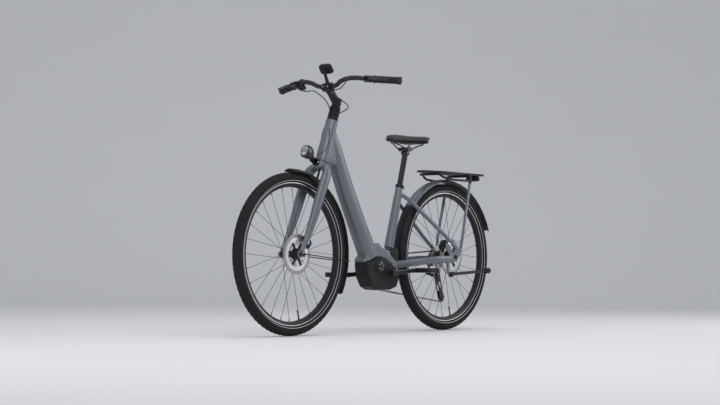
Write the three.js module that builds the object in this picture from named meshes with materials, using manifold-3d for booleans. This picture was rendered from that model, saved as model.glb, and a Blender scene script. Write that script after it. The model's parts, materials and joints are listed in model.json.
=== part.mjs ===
// Step-through touring bicycle with a mid motor, rear rack and full mudguards.
// Millimetres, +X forward, +Y to the rider's left, +Z up; the origin lies on the ground under the
// middle of the bicycle. Everything is first placed from the front hub axis and the ground.
import * as THREE from "three";
import { mergeVertices } from "three/addons/utils/BufferGeometryUtils.js";
import Module from "manifold-3d";

const wasm = await Module();
wasm.setup();

// Fits shared by every piece.
const seatGap = 0.35;
const cutOver = 4;

// Wheels.
const wheelbase = 1135;
const tyreRadius = 361;
const tyreSection = 25;
const tyreWall = 4;
const beadRadius = tyreRadius - 2 * tyreSection;
const rimFlange = 7;
const rimWidth = 31;
const rimWall = 2.4;
const rimDepth = 15;
const spokeCount = 28;
const spokeCrossings = 3;
const spokeThickness = 2.2;
const wheelSides = 40;
const axleRadius = 6;
const axleClearance = 0.5;
const axleNutRadius = 10.5;
const axleNutLength = 8;
const frontHub = { spacing: 102, barrel: 15, flange: 24, left: 22, right: -34, discMount: 36 };
const rearHub = { spacing: 136, barrel: 18, flange: 29, left: 26, right: -20, discMount: 46 };
const flangeThickness = 3.4;
const discMountRadius = 22;

// Brake discs and calipers.
const rotorRadius = 90;
const rotorTrack = 14;
const rotorThickness = 2;
const rotorArmCount = 6;
const rotorArmWidth = 9;
const rotorCarrier = 28;
const caliperLength = 58;
const caliperDepth = 34;
const caliperWidth = 22;
const caliperSlot = 4.4;

// Steering: the head axis, and the fork measured along it from the hub's level.
const headAngle = THREE.MathUtils.degToRad(69.66);
const forkOffset = 45.4;
const crownRace = 463;
const headTubeLength = 204;
const headTubeTopRadius = 27.5;
const headTubeBottomRadius = 30;
const headTubeBore = 16.5;
const steererRadius = 14.3;
const crownRadius = 27;
const crownHeight = 34;
const bladeSpread = 57;
const bladeTopRadius = 17;
const bladeTipRadius = 9.5;
const dropoutThickness = 8;
const dropoutRadius = 16;

// Cockpit, heights along the head axis above the head tube.
const coverHeight = 70;
const coverRadius = 25;
const coverRibCount = 3;
const coverRibDepth = 1.6;
const stemBaseHeight = 40;
const stemBaseRadius = 21;
const stemArmRadius = 19;
const stemRise = 62;
const stemReach = 90;
const barRadius = 11.1;
const barClampRadius = 12.7;
const barClampLength = 46;
const barWall = 8;
const barHalfWidth = 355;
const barRise = 32;
const barSweep = 82;
const gripLength = 128;
const gripRadius = 15.5;
const gripRingRadius = 19;
const gripRingWidth = 9;
const leverPivotFromGrip = 24;
const leverReach = 46;
const leverLength = 108;
const leverThickness = 9;
const perchLength = 34;
const perchRadius = 16;
const displayWidth = 72;
const displayHeight = 48;
const displayDepth = 13;
const displayRise = 74;
const displayForward = 50;
const mastBarrel = 6;
const headlightHeight = 58;
const headlightWidth = 46;
const headlightDepth = 52;
const headlightForward = 112;
const headlightDrop = 6;
const lampBarrel = 7;
const hoseRadius = 2.5;

// Main frame, places in the plane of the bicycle from the front hub axis and the ground.
const crankCentreX = -654;
const crankCentreZ = 282;
const seatAngle = THREE.MathUtils.degToRad(75);
const seatTubeTopX = -776;
const seatTubeTopZ = 688;
const seatTubeLength = 290;
const seatTubeRadius = 17;
const seatPostRadius = 13.6;
const seatPostRise = 176;
const seatPostInsert = 120;
const seatBoreDepth = 236;
const collarWall = 3;
const collarHeight = 14;
const downTubeWidth = 70;
const downTubeDepth = 82;
const downTubeBelowTop = 61.5;
const downTubeFootAhead = 114;
const downTubeFootRise = 84;
const motorHalfWidth = 41;
const motorCoverRadius = 34;
const stayHalfSpacing = 72;
const chainstayDepth = 32;
const chainstayWidth = 19;
const seatstayRadius = 9;
const rearDropoutHeight = 66;
const rearDropoutLength = 40;

// Seat.
const saddleLength = 262;
const saddleHalfWidth = 78;
const saddleNoseHalfWidth = 20;
const saddleTopZ = 944;
const saddleThickness = 46;
const railRadius = 3.6;
const railSpacing = 44;

// Mudguards and rack.
const guardHalfWidth = 31;
const guardSkirt = 15;
const guardThickness = 1.8;
const frontGuardGap = 18;
const frontGuardRadius = tyreRadius + frontGuardGap;
const rearGuardGap = 13;
const rearGuardRadius = tyreRadius + rearGuardGap;
const rearGuardTailGrowth = 16;
const guardStayRadius = 2.4;
const rackFrontX = -940;
const rackRearX = -1410;
const rackHalfWidth = 62;
const rackOverGuard = 46;
const rackTopZ = tyreRadius + rearGuardRadius + rackOverGuard;
const rackPlateThickness = 9;
const rackLegRadius = 9;
const rackLegTopX = -1262;
const rackLegFootX = -1178;
const rackRailRadius = 6;

// Drive.
const chainPitch = 12.7;
const chainLine = -50;
const chainWidth = 6.6;
const chainPlateHalf = 4.3;
const chainWaistHalf = 2.9;
const toothThickness = 1.9;
const toothHeight = 3.2;
const chainringTeeth = 38;
const cassetteTeeth = [11, 13, 15, 18, 21, 24, 28];
const drivenSprocket = 2;
const sprocketSpacing = 5;
const pulleyTeeth = 11;
const guideBehind = 15;
const guideDrop = 90;
const tensionBehind = 33;
const tensionDrop = 110;
const crankLength = 172;
const crankArmY = 70;
const crankArmThickness = 13;
const crankAngle = THREE.MathUtils.degToRad(-4);
const spindleRadius = 9;
const spindleClearance = 1.2;
const pedalLength = 96;
const pedalWidth = 88;
const pedalThickness = 22;
const pedalAxleRadius = 5;
const pedalGap = 14;

// Kickstand.
const standPivotX = -1076;
const standPivotZ = 272;
const standPivotY = 90;
const standFootX = -1386;
const standFootZ = 295;
const standFootY = 98;
const standRadius = 8;
const standAxisShares = [-0.064, -0.8731, -0.4833];

// Values worked out from the sizes above.
const hubZ = tyreRadius;
const leanBack = Math.PI / 2 - headAngle;
const headUp = new THREE.Vector3(-Math.cos(headAngle), 0, Math.sin(headAngle));
const headForward = new THREE.Vector3(Math.sin(headAngle), 0, Math.cos(headAngle));
const headTop = crownRace + headTubeLength;
const up = new THREE.Vector3(0, 0, 1);
const left = new THREE.Vector3(0, 1, 0);
const along = (x, y, z) => new THREE.Vector3(x, y, z);
const pitchRadius = (teeth) => chainPitch / (2 * Math.sin(Math.PI / teeth));
const seatUp = along(-Math.cos(seatAngle), 0, Math.sin(seatAngle));
const seatTop = along(seatTubeTopX, 0, seatTubeTopZ);
const rearHubCentre = along(-wheelbase, 0, hubZ);
const crankCentre = along(crankCentreX, 0, crankCentreZ);

// Operations: plain geometry to a solid and back, joins and cuts.
function solidOf(geometry) {
  const bare = geometry.index ? geometry.toNonIndexed() : geometry.clone();
  bare.deleteAttribute("normal");
  bare.deleteAttribute("uv");
  const merged = mergeVertices(bare, 1e-3);
  return new wasm.Manifold(
    new wasm.Mesh({
      numProp: 3,
      vertProperties: merged.attributes.position.array,
      triVerts: new Uint32Array(merged.index.array),
    }),
  );
}

function geometryOf(solid) {
  const mesh = solid.getMesh();
  const geometry = new THREE.BufferGeometry();
  geometry.setAttribute("position", new THREE.BufferAttribute(mesh.vertProperties, mesh.numProp));
  geometry.setIndex(new THREE.BufferAttribute(mesh.triVerts, 1));
  const faceted = geometry.toNonIndexed();
  faceted.computeVertexNormals();
  return faceted;
}

function joined(...geometries) {
  return geometryOf(geometries.map(solidOf).reduce((whole, next) => whole.add(next)));
}

function cut(geometry, ...tools) {
  return geometryOf(tools.map(solidOf).reduce((whole, tool) => whole.subtract(tool), solidOf(geometry)));
}

// A closed skin through rings of points, each ring { centre, side, rise, outline } with outline in
// the plane of side and rise. The ends are capped, or the last ring is joined to the first.
function loft(rings, { endless = false } = {}) {
  const count = rings[0].outline.length;
  const points = rings.flatMap(({ centre, side, rise, outline }) =>
    outline.map(([a, b]) => centre.clone().addScaledVector(side, a).addScaledVector(rise, b)),
  );
  const faces = [];
  const spans = endless ? rings.length : rings.length - 1;
  for (let ring = 0; ring < spans; ring += 1) {
    const here = ring * count;
    const next = ((ring + 1) % rings.length) * count;
    for (let k = 0; k < count; k += 1) {
      const step = (k + 1) % count;
      faces.push([here + k, here + step, next + step], [here + k, next + step, next + k]);
    }
  }
  if (!endless) {
    const flat = (outline) => outline.map(([a, b]) => new THREE.Vector2(a, b));
    const first = THREE.ShapeUtils.triangulateShape(flat(rings[0].outline), []);
    const last = THREE.ShapeUtils.triangulateShape(flat(rings.at(-1).outline), []);
    const base = (rings.length - 1) * count;
    const turnsLeft = THREE.ShapeUtils.area(flat(rings[0].outline)) > 0;
    for (const [a, b, c] of first) faces.push(turnsLeft ? [c, b, a] : [a, b, c]);
    for (const [a, b, c] of last) faces.push(turnsLeft ? [
      base + a,
      base + b,
      base + c,
    ] : [base + c, base + b, base + a]);
  }
  const volume = faces.reduce(
    (sum, [a, b, c]) => sum + points[a].dot(points[b].clone().cross(points[c])),
    0,
  );
  const ordered = volume < 0 ? faces.map(([a, b, c]) => [c, b, a]) : faces;
  const geometry = new THREE.BufferGeometry().setFromPoints(points);
  geometry.setIndex(ordered.flat());
  const faceted = geometry.toNonIndexed();
  faceted.computeVertexNormals();
  return faceted;
}

// An oval outline; power 2 is an ellipse and more is squarer.
function oval(halfSide, halfRise, sides = 12, power = 2) {
  return Array.from({ length: sides }, (_, k) => {
    const turn = ((k + 0.5) / sides) * 2 * Math.PI;
    const bend = (v) => Math.sign(v) * Math.abs(v) ** (2 / power);
    return [halfSide * bend(Math.cos(turn)), halfRise * bend(Math.sin(turn))];
  });
}

// A tube whose stations are [place, halfSide, halfRise]; side is kept level with the given vector.
function tapered(stations, { sides = 12, power = 2, sideways = left } = {}) {
  const places = stations.map(([place]) => place);
  const rings = stations.map(([centre, halfSide, halfRise = halfSide], i) => {
    const before = places[Math.max(0, i - 1)];
    const after = places[Math.min(places.length - 1, i + 1)];
    const run = after.clone().sub(before).normalize();
    const rise = sideways.clone().cross(run).normalize();
    const side = run.clone().cross(rise).normalize();
    return { centre, side, rise, outline: oval(halfSide, halfRise, sides, power) };
  });
  return loft(rings);
}

// A round bar between two places.
function rod(from, to, radius, sides = 12, endRadius = radius) {
  const run = to.clone().sub(from);
  const helper = Math.abs(run.clone().normalize().dot(left)) > 0.9 ? along(1, 0, 0) : left;
  return tapered([[from, radius], [to, endRadius]], { sides, sideways: helper });
}

// A round bar bent smoothly through places.
function bentRod(places, radius, sides = 8, steps = 12) {
  const section = new THREE.Shape(oval(radius, radius, sides).map(([a, b]) => new THREE.Vector2(a, b)));
  return new THREE.ExtrudeGeometry(section, {
    steps,
    bevelEnabled: false,
    extrudePath: new THREE.CatmullRomCurve3(places, false, "centripetal"),
  });
}

// A body turned about an axis through a place, from [radius, height] pairs.
function turned(profile, segments = 24, axis = left, place = along(0, 0, 0)) {
  const geometry = new THREE.LatheGeometry(profile.map(([r, h]) => new THREE.Vector2(r, h)), segments);
  geometry.applyQuaternion(new THREE.Quaternion().setFromUnitVectors(left, axis));
  geometry.translate(place.x, place.y, place.z);
  return solidVolume(geometry) < 0 ? flipped(geometry) : geometry;
}

function solidVolume(geometry) {
  const p = geometry.attributes.position;
  const index = geometry.index.array;
  const corner = (i) => new THREE.Vector3().fromBufferAttribute(p, index[i]);
  let sum = 0;
  for (let i = 0; i < index.length; i += 3) sum += corner(i).dot(corner(i + 1).cross(corner(i + 2)));
  return sum;
}

function flipped(geometry) {
  const index = Array.from(geometry.index.array);
  for (let i = 0; i < index.length; i += 3) [index[i], index[i + 1]] = [index[i + 1], index[i]];
  geometry.setIndex(index);
  return geometry;
}

// A round disc or pin on an axis, from low to high along it.
function pin(radius, low, high, place, axis = left, segments = 16) {
  return turned([[0, low], [radius, low], [radius, high], [0, high]], segments, axis, place);
}

function ring(inner, outer, low, high, place, axis = left, segments = 20) {
  return turned(
    [[inner, low], [outer, low], [outer, high], [inner, high], [inner, low]],
    segments,
    axis,
    place,
  );
}

// A plate whose outline is drawn in X and Z and whose thickness runs along Y.
function plate(outline, low, high, holes = [], bevel = 0) {
  const corners = (line) => line.map(([x, z]) => new THREE.Vector2(x, z));
  const shape = new THREE.Shape(corners(outline));
  for (const hole of holes) shape.holes.push(new THREE.Path(corners(hole)));
  const geometry = new THREE.ExtrudeGeometry(shape, {
    depth: high - low - 2 * bevel,
    bevelEnabled: bevel > 0,
    bevelThickness: bevel,
    bevelSize: bevel,
    bevelOffset: -bevel,
    bevelSegments: 1,
  });
  geometry.rotateX(Math.PI / 2);
  geometry.translate(0, high - bevel, 0);
  return geometry;
}

function box(sizeX, sizeY, sizeZ, place = along(0, 0, 0)) {
  return new THREE.BoxGeometry(sizeX, sizeY, sizeZ).translate(place.x, place.y, place.z);
}

const circle = (radius, count, x = 0, z = 0) =>
  Array.from({ length: count }, (_, k) => {
    const turn = (k / count) * 2 * Math.PI;
    return [x + radius * Math.cos(turn), z + radius * Math.sin(turn)];
  });

// Materials and the scene graph.
const finishes = {
  framePaint: { color: 0x7c838c, roughness: 0.45, metalness: 0.4 },
  black: { color: 0x17181a, roughness: 0.5, metalness: 0.3 },
  rubber: { color: 0x151515, roughness: 0.85, metalness: 0 },
  plastic: { color: 0x1b1b1c, roughness: 0.6, metalness: 0 },
  steel: { color: 0xb4b4b0, roughness: 0.35, metalness: 0.9 },
  alloy: { color: 0x3a3b3d, roughness: 0.4, metalness: 0.8 },
  lens: { color: 0xd8dce0, roughness: 0.1, metalness: 0 },
  cushion: { color: 0x303032, roughness: 0.7, metalness: 0 },
};

const bicycle = new THREE.Group();
const steering = new THREE.Group();
bicycle.add(steering);

function add(name, geometry, finish, group = bicycle) {
  const mesh = new THREE.Mesh(geometry, new THREE.MeshStandardMaterial(finishes[finish]));
  mesh.name = name;
  group.add(mesh);
  return mesh;
}

// The steering group's own Z runs up the head axis and its X forward, from the hub's level.
const headFoot = along(0, 0, hubZ).addScaledVector(headForward, -forkOffset);
steering.position.copy(headFoot);
steering.rotation.y = -leanBack;
const steered = (x, y, z) => headFoot.clone().addScaledVector(
  headForward,
  x,
).addScaledVector(headUp, z).setY(y);

// Wheels
function tyre() {
  const centre = tyreRadius - tyreSection;
  const bead = rimWidth / 2 - rimWall;
  const start = Math.PI * 0.7;
  // An even count leaves a flat crown, the patch that a loaded tyre stands on.
  const count = 8;
  const flat = Math.cos(start / (count - 1));
  const outside = Array.from({ length: count }, (_, k) => {
    const turn = start - (2 * start * k) / (count - 1);
    return [centre + (tyreSection * Math.cos(turn)) / flat, tyreSection * Math.sin(turn)];
  });
  const crest = [centre + tyreSection - tyreWall, 0];
  const flange = beadRadius + rimFlange + seatGap;
  const beadTop = [beadRadius + seatGap, bead - seatGap];
  const beadLow = [beadRadius + seatGap, -bead + seatGap];
  const innerTop = [beadRadius + seatGap, bead - tyreWall];
  const innerLow = [beadRadius + seatGap, -bead + tyreWall];
  const lips = [flange, bead - seatGap];
  return turned(
    [beadTop, lips, ...outside, [lips[0], -lips[1]], beadLow, innerLow, crest, innerTop, beadTop],
    wheelSides,
  );
}

function rim() {
  const half = rimWidth / 2;
  const floor = beadRadius - rimDepth;
  return turned(
    [
      [floor, -half * 0.7],
      [beadRadius + rimFlange, -half],
      [beadRadius, -half + rimWall],
      [beadRadius, half - rimWall],
      [beadRadius + rimFlange, half],
      [floor, half * 0.7],
      [floor, -half * 0.7],
    ],
    wheelSides,
  );
}

// A hub with its laced spokes: each spoke leaves its flange almost tangentially and crosses others.
function lacedHub(hub) {
  const end = hub.spacing / 2 - seatGap;
  const bore = axleRadius + axleClearance;
  const half = flangeThickness / 2;
  const shell = turned(
    [
      [bore, -end],
      [hub.barrel * 0.75, -end],
      [hub.barrel * 0.75, hub.right - half - flangeThickness],
      [hub.flange, hub.right - half],
      [hub.flange, hub.right + half],
      [hub.barrel, hub.right + 2 * flangeThickness],
      [hub.barrel, hub.left - 2 * flangeThickness],
      [hub.flange, hub.left - half],
      [hub.flange, hub.left + half],
      [discMountRadius, hub.left + flangeThickness],
      [discMountRadius, hub.discMount - rotorThickness / 2 - seatGap],
      [hub.barrel * 0.75, hub.discMount - rotorThickness / 2 - seatGap],
      [hub.barrel * 0.75, end],
      [bore, end],
      [bore, -end],
    ],
    12,
  );
  const perSide = spokeCount / 2;
  const rimPlace = (beadRadius - rimDepth) * Math.cos(Math.PI / wheelSides) - seatGap;
  const spokes = [];
  for (const sideOfHub of [hub.left, hub.right]) {
    const shift = sideOfHub === hub.left ? 0 : Math.PI / spokeCount;
    for (let k = 0; k < perSide; k += 1) {
      const turn = (k / perSide) * 2 * Math.PI + shift;
      const lean = (k % 2 ? 1 : -1) * ((spokeCrossings * 2 * Math.PI) / perSide);
      const y = sideOfHub + (k % 2 ? 1 : -1) * spokeThickness * 0.6;
      const foot = hub.flange - flangeThickness;
      const from = along(foot * Math.cos(turn), y, foot * Math.sin(turn));
      const rimY = sideOfHub * 0.12 + (k % 2 ? 1 : -1) * spokeThickness * 0.6;
      const to = along(rimPlace * Math.cos(turn + lean), rimY, rimPlace * Math.sin(turn + lean));
      spokes.push(rod(from, to, spokeThickness * 0.6, 3));
    }
  }
  return joined(shell, ...spokes);
}

// A disc with a waved track, windows between its arms and an open middle.
function rotor(y) {
  const waves = 9;
  const outline = Array.from({ length: waves * 3 }, (_, k) => {
    const turn = (k / (waves * 3)) * 2 * Math.PI;
    const dip = k % 3 === 0 ? rotorTrack * 0.12 : 0;
    return [(rotorRadius - dip) * Math.cos(turn), (rotorRadius - dip) * Math.sin(turn)];
  });
  const windows = Array.from({ length: rotorArmCount }, (_, k) => {
    const middle = ((k + 0.5) / rotorArmCount) * 2 * Math.PI;
    const corner = (radius, side, lag) => {
      const half = Math.PI / rotorArmCount - rotorArmWidth / 2 / radius;
      return [
        radius * Math.cos(middle + side * half + lag),
        radius * Math.sin(middle + side * half + lag),
      ];
    };
    const outer = rotorRadius - rotorTrack;
    const lag = 0.35;
    return [
      corner(outer, -1, 0),
      [outer * Math.cos(middle - 0.17), outer * Math.sin(middle - 0.17)],
      [outer * Math.cos(middle + 0.17), outer * Math.sin(middle + 0.17)],
      corner(outer, 1, 0),
      corner(rotorCarrier, 1, lag),
      corner(rotorCarrier, -1, lag),
    ];
  });
  const bore = circle(discMountRadius * 0.7, 16).reverse();
  return plate(outline, y - rotorThickness / 2, y + rotorThickness / 2, [bore, ...windows]);
}

function axle(spacing) {
  const end = spacing / 2 + dropoutThickness + seatGap;
  const tip = end + axleNutLength;
  return turned(
    [
      [0, -tip],
      [axleNutRadius, -tip],
      [axleNutRadius, -end],
      [axleRadius, -end],
      [axleRadius, end],
      [axleNutRadius, end],
      [axleNutRadius, tip],
      [0, tip],
    ],
    8,
  );
}

function wheel(name, hub, place, axleGroup) {
  const group = new THREE.Group();
  group.position.copy(place);
  bicycle.add(group);
  add(`${name}_tyre`, tyre(), "rubber", group);
  add(`${name}_rim`, rim(), "black", group);
  add(`${name}_hub`, lacedHub(hub), "alloy", group);
  add(`${name}_rotor`, rotor(hub.discMount), "steel", group);
  add(`${name}_axle`, axle(hub.spacing), "alloy", axleGroup).position.copy(place);
}
wheel("front", frontHub, along(0, 0, hubZ), bicycle);
wheel("rear", rearHub, rearHubCentre, bicycle);

// Steering: fork, head parts and front fittings
function blade(sign, spare = 0) {
  const shares = [
    [0, 0.955, 0, 1.15, 1.15],
    [0.45, 0.95, 0, 1.15, 1.18],
    [0.8, 0.915, 0.04, 1.15, 1.3],
    [0.97, 0.85, 0.15, 1.15, 1.46],
    [1, 0.65, 0.33, 1.18, 1.5],
    [1, 0.43, 0.42, 1.04, 1.3],
    [1, 0.24, 0.58, 0.84, 1.02],
    [1, 0.11, 0.79, 0.66, 0.78],
    [1, 0.03, 0.95, 0.6, 0.62],
  ];
  return tapered(
    shares.map(([spreadShare, riseShare, forwardShare, widthShare, depthShare]) => [
      along(forwardShare * forkOffset, sign * spreadShare * bladeSpread, riseShare * crownRace),
      widthShare * bladeTopRadius * 0.86 + spare,
      depthShare * bladeTopRadius + spare,
    ]),
    { sides: 8, power: 2.2, sideways: along(0, 1, 0.35 * sign * -1) },
  );
}

function fork() {
  const inner = frontHub.spacing / 2 + seatGap;
  const end = (sign) =>
    pin(
      dropoutRadius,
      Math.min(sign * inner, sign * (inner + dropoutThickness - seatGap)),
      Math.max(sign * inner, sign * (inner + dropoutThickness - seatGap)),
      along(forkOffset, 0, 0),
      left,
      14,
    );
  const crown = turned(
    [
      [0, crownRace - crownHeight],
      [crownRadius, crownRace - crownHeight],
      [crownRadius, crownRace - seatGap],
      [steererRadius, crownRace - seatGap],
      [steererRadius, headTop + coverHeight],
      [0, headTop + coverHeight],
    ],
    16,
    up,
  );
  const whole = joined(blade(1), blade(-1), end(1), end(-1), crown);
  const bore = pin(
    axleRadius + seatGap,
    -bladeSpread - 2 * bladeTopRadius,
    bladeSpread + 2 * bladeTopRadius,
    along(forkOffset, 0, 0),
    left,
    12,
  );
  const hubRoom = pin(
    frontHub.flange,
    -frontHub.spacing / 2 - seatGap,
    frontHub.spacing / 2 + seatGap,
    along(forkOffset, 0, 0),
  );
  const nutRoom = (sign) => {
    const from = sign * (frontHub.spacing / 2 + dropoutThickness);
    const to = sign * (bladeSpread + 2 * bladeTopRadius);
    return pin(
      axleNutRadius + 1.5 * axleClearance,
      Math.min(from, to),
      Math.max(from, to),
      along(forkOffset, 0, 0),
    );
  };
  return cut(whole, bore, hubRoom, nutRoom(1), nutRoom(-1));
}

function headTube() {
  const flare = headTubeLength * 0.12;
  return turned(
    [
      [headTubeBore, crownRace],
      [headTubeBottomRadius, crownRace],
      [headTubeBottomRadius, crownRace + flare],
      [headTubeTopRadius - 1.5 * seatGap, crownRace + 2.2 * flare],
      [headTubeTopRadius - 1.5 * seatGap, headTop - 2 * flare],
      [headTubeTopRadius, headTop - flare],
      [headTubeTopRadius, headTop],
      [headTubeBore, headTop],
      [headTubeBore, crownRace],
    ],
    18,
    up,
  );
}

function headsetCover() {
  const base = headTop + seatGap;
  const step = (coverHeight - seatGap) / coverRibCount;
  const profile = [[steererRadius + 3 * seatGap, base]];
  for (let k = 0; k < coverRibCount; k += 1) {
    const radius = coverRadius - (k * (coverRadius - stemBaseRadius)) / coverRibCount;
    const low = base + k * step;
    profile.push([radius - coverRibDepth, low], [radius, low + step * 0.2]);
    profile.push([radius, low + step * 0.8], [radius - coverRibDepth, low + step]);
  }
  profile.push([steererRadius + 3 * seatGap, base + coverRibCount * step], profile[0]);
  return turned(profile, 14, up);
}

const barPlace = along(stemReach * 0.9, 0, headTop + coverHeight + stemRise);
const displayPivot = barPlace.clone().add(along(displayForward, 0, displayRise * 0.8));
function stem() {
  const base = headTop + coverHeight + seatGap;
  const foot = along(0, 0, base + stemBaseHeight * 0.5);
  const post = pin(stemBaseRadius, base, base + stemBaseHeight, along(0, 0, 0), up, 14);
  const arm = tapered(
    [
      [foot, stemArmRadius * 0.9, stemArmRadius],
      [foot.clone().lerp(barPlace, 0.5), stemArmRadius * 0.8, stemArmRadius * 0.95],
      [barPlace, stemArmRadius * 0.95, stemArmRadius * 0.9],
    ],
    { sides: 12, power: 2.6 },
  );
  const clamp = pin(
    barClampRadius + barWall,
    -barClampLength / 2,
    barClampLength / 2,
    barPlace,
    left,
    14,
  );
  const mast = tapered(
    [
      [barPlace.clone().add(along(barClampRadius * 0.4, 0, barClampRadius)), barWall, barWall * 1.4],
      [barPlace.clone().lerp(displayPivot, 0.7), barWall, barWall * 0.8],
      [displayPivot, barWall * 1.6, mastBarrel * 0.6],
    ],
    { sides: 8 },
  );
  const barrel = pin(mastBarrel, -displayWidth * 0.16, displayWidth * 0.16, displayPivot, left, 16);
  const bore = pin(barClampRadius + 2 * seatGap, -barClampLength, barClampLength, barPlace, left, 12);
  return cut(joined(post, arm, clamp, mast, barrel), bore);
}

const barShares = [
  [0, 0, 0],
  [0.065, 0, 0.02],
  [0.13, 0.02, 0.1],
  [0.25, 0.14, 0.72],
  [0.37, 0.1, 1],
  [0.48, -0.1, 1],
  [0.56, -0.274, 0.864],
  [0.6, -0.34, 0.82],
  [0.8, -0.67, 0.62],
  [1, -1, 0.42],
];
// A place on the bar's middle line: share of the half width, and side.
const levelForward = along(Math.cos(leanBack), 0, -Math.sin(leanBack));
const levelUp = along(Math.sin(leanBack), 0, Math.cos(leanBack));
function barPoint([outShare, backShare, riseShare], sign) {
  return barPlace
    .clone()
    .addScaledVector(left, sign * outShare * barHalfWidth)
    .addScaledVector(levelForward, backShare * barSweep)
    .addScaledVector(levelUp, riseShare * barRise);
}

const barCurve = (sign) => new THREE.CatmullRomCurve3(
  barShares.map((share) => barPoint(share, sign)),
  false,
  "centripetal",
);
// The place and direction at a distance from the end of the bar.
function onBar(sign, fromEnd) {
  const curve = barCurve(sign);
  const share = 1 - fromEnd / curve.getLength();
  return { place: curve.getPointAt(share), run: curve.getTangentAt(share) };
}

function handlebar() {
  const half = (sign) => barShares.map((share) => barPoint(share, sign));
  const places = [...half(-1).reverse(), ...half(1).slice(1)];
  const tube = bentRod(places, barRadius, 10, 26);
  const clampZone = pin(barClampRadius, -barClampLength * 0.7, barClampLength * 0.7, barPlace, left, 12);
  return joined(tube, clampZone);
}

// The ends of the bar are straight under the grips, so a grip is turned about its own line.
function gripAxis(sign) {
  const end = onBar(sign, 0).place;
  const start = onBar(sign, gripLength).place;
  return { start, end, run: end.clone().sub(start).normalize() };
}

function grip(sign) {
  const { start, run } = gripAxis(sign);
  const bore = barRadius + 2.2 * seatGap;
  const length = gripLength;
  const ribs = 4;
  const profile = [[bore, 0], [gripRingRadius, 0], [gripRingRadius, gripRingWidth]];
  const ribRun = (length - 2 * gripRingWidth) / ribs;
  for (let k = 0; k < ribs; k += 1) {
    const low = gripRingWidth + k * ribRun;
    profile.push([gripRadius * 0.93, low], [gripRadius, low + ribRun * 0.25]);
  }
  profile.push([gripRadius, length - gripRingWidth], [gripRingRadius, length - gripRingWidth]);
  profile.push([gripRingRadius, length + seatGap], [0, length + seatGap + barWall * 0.5]);
  profile.push([0, length + seatGap], [bore, length + seatGap], [bore, 0]);
  return turned(profile, 10, run, start);
}

// Controls: a clamp on the bar with a lever hinged in its jaw.
function leverFrame(sign) {
  const fromEnd = gripLength + leverPivotFromGrip;
  const { place, run } = onBar(sign, fromEnd);
  const forward = levelForward.clone().addScaledVector(run, -levelForward.dot(run)).normalize();
  const lift = forward.clone().cross(run).normalize();
  if (lift.dot(levelUp) < 0) lift.negate();
  return { place, run, forward, lift };
}

function leverPivot(sign) {
  const { place, forward } = leverFrame(sign);
  return place.clone().addScaledVector(forward, leverReach * 0.62);
}

function perch(sign) {
  const { place, run, forward, lift } = leverFrame(sign);
  const body = rod(
    place.clone().addScaledVector(run, -perchLength / 2),
    place.clone().addScaledVector(run, perchLength / 2),
    perchRadius,
    10,
  );
  const pivot = leverPivot(sign);
  const arm = tapered(
    [
      [place.clone().addScaledVector(forward, perchRadius * 0.5), perchLength * 0.42, perchRadius * 0.75],
      [
        pivot.clone().addScaledVector(forward, leverThickness * 0.6),
        perchLength * 0.3,
        leverThickness * 1.15,
      ],
    ],
    { sides: 8, power: 3, sideways: run },
  );
  const tank = tapered(
    [
      [pivot.clone().addScaledVector(run, -perchLength * 1.5), perchRadius * 0.55, perchRadius * 0.6],
      [pivot.clone().addScaledVector(run, -perchLength * 0.1), perchRadius * 0.6, perchRadius * 0.7],
    ],
    { sides: 8, power: 3, sideways: lift },
  );
  const slotHalf = leverThickness / 2 + seatGap;
  const jaw = new THREE.BoxGeometry(2 * perchLength, leverReach, 2 * slotHalf);
  const basis = new THREE.Matrix4().makeBasis(run, forward, run.clone().cross(forward));
  jaw.translate(perchLength * 0.8, leverReach / 2 - leverThickness * 0.9, 0);
  jaw.applyMatrix4(basis);
  jaw.translate(pivot.x, pivot.y, pivot.z);
  const bore = rod(
    place.clone().addScaledVector(run, -perchLength),
    place.clone().addScaledVector(run, perchLength),
    barRadius + 5 * seatGap,
    10,
  );
  return cut(joined(body, arm, tank), jaw, bore);
}

function brakeLever(sign) {
  const { run, forward, lift } = leverFrame(sign);
  const pivot = leverPivot(sign);
  const at = (outward, ahead) => pivot.clone().addScaledVector(run, outward).addScaledVector(
    forward,
    ahead,
  );
  const half = leverThickness / 2;
  return tapered(
    [
      [at(seatGap, 0), half * 0.9, half * 0.9],
      [at(leverThickness, leverThickness * 0.4), half * 1.1, half],
      [at(leverLength * 0.3, leverThickness * 1.5), half * 1.1, half],
      [at(leverLength * 0.6, leverThickness * 1.4), half, half],
      [at(leverLength * 0.92, leverThickness * 1.1), half, half],
      [at(leverLength, leverThickness * 1.5), half * 1.2, half],
    ],
    { sides: 8, power: 3, sideways: lift.clone().negate() },
  );
}

// The gear control hangs under the right side of the bar, inboard of the brake clamp.
const shifterLength = 30;
const shifterDepth = 24;
const shifterPaddle = 34;
function shifterFrame() {
  const fromEnd = gripLength + leverPivotFromGrip + perchLength * 1.1 + shifterLength / 2;
  const { place, run } = onBar(-1, fromEnd);
  return { place, run, forward: leverFrame(-1).forward, lift: leverFrame(-1).lift };
}

function shifter() {
  const { place, run, lift } = shifterFrame();
  const clamp = rod(
    place.clone().addScaledVector(run, -shifterLength / 3),
    place.clone().addScaledVector(run, shifterLength / 3),
    perchRadius,
    10,
  );
  const low = place.clone().addScaledVector(lift, -barRadius - shifterDepth * 0.8);
  const pod = turned(
    [
      [0, 0],
      [shifterDepth * 0.8, 0],
      [shifterDepth * 0.9, shifterDepth * 0.25],
      [shifterDepth * 0.6, shifterDepth * 0.8],
      [0, shifterDepth * 0.8],
    ],
    10,
    lift,
    low,
  );
  const bore = rod(
    place.clone().addScaledVector(run, -shifterLength),
    place.clone().addScaledVector(run, shifterLength),
    barRadius + 5 * seatGap,
    10,
  );
  return cut(joined(clamp, pod), bore);
}

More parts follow.
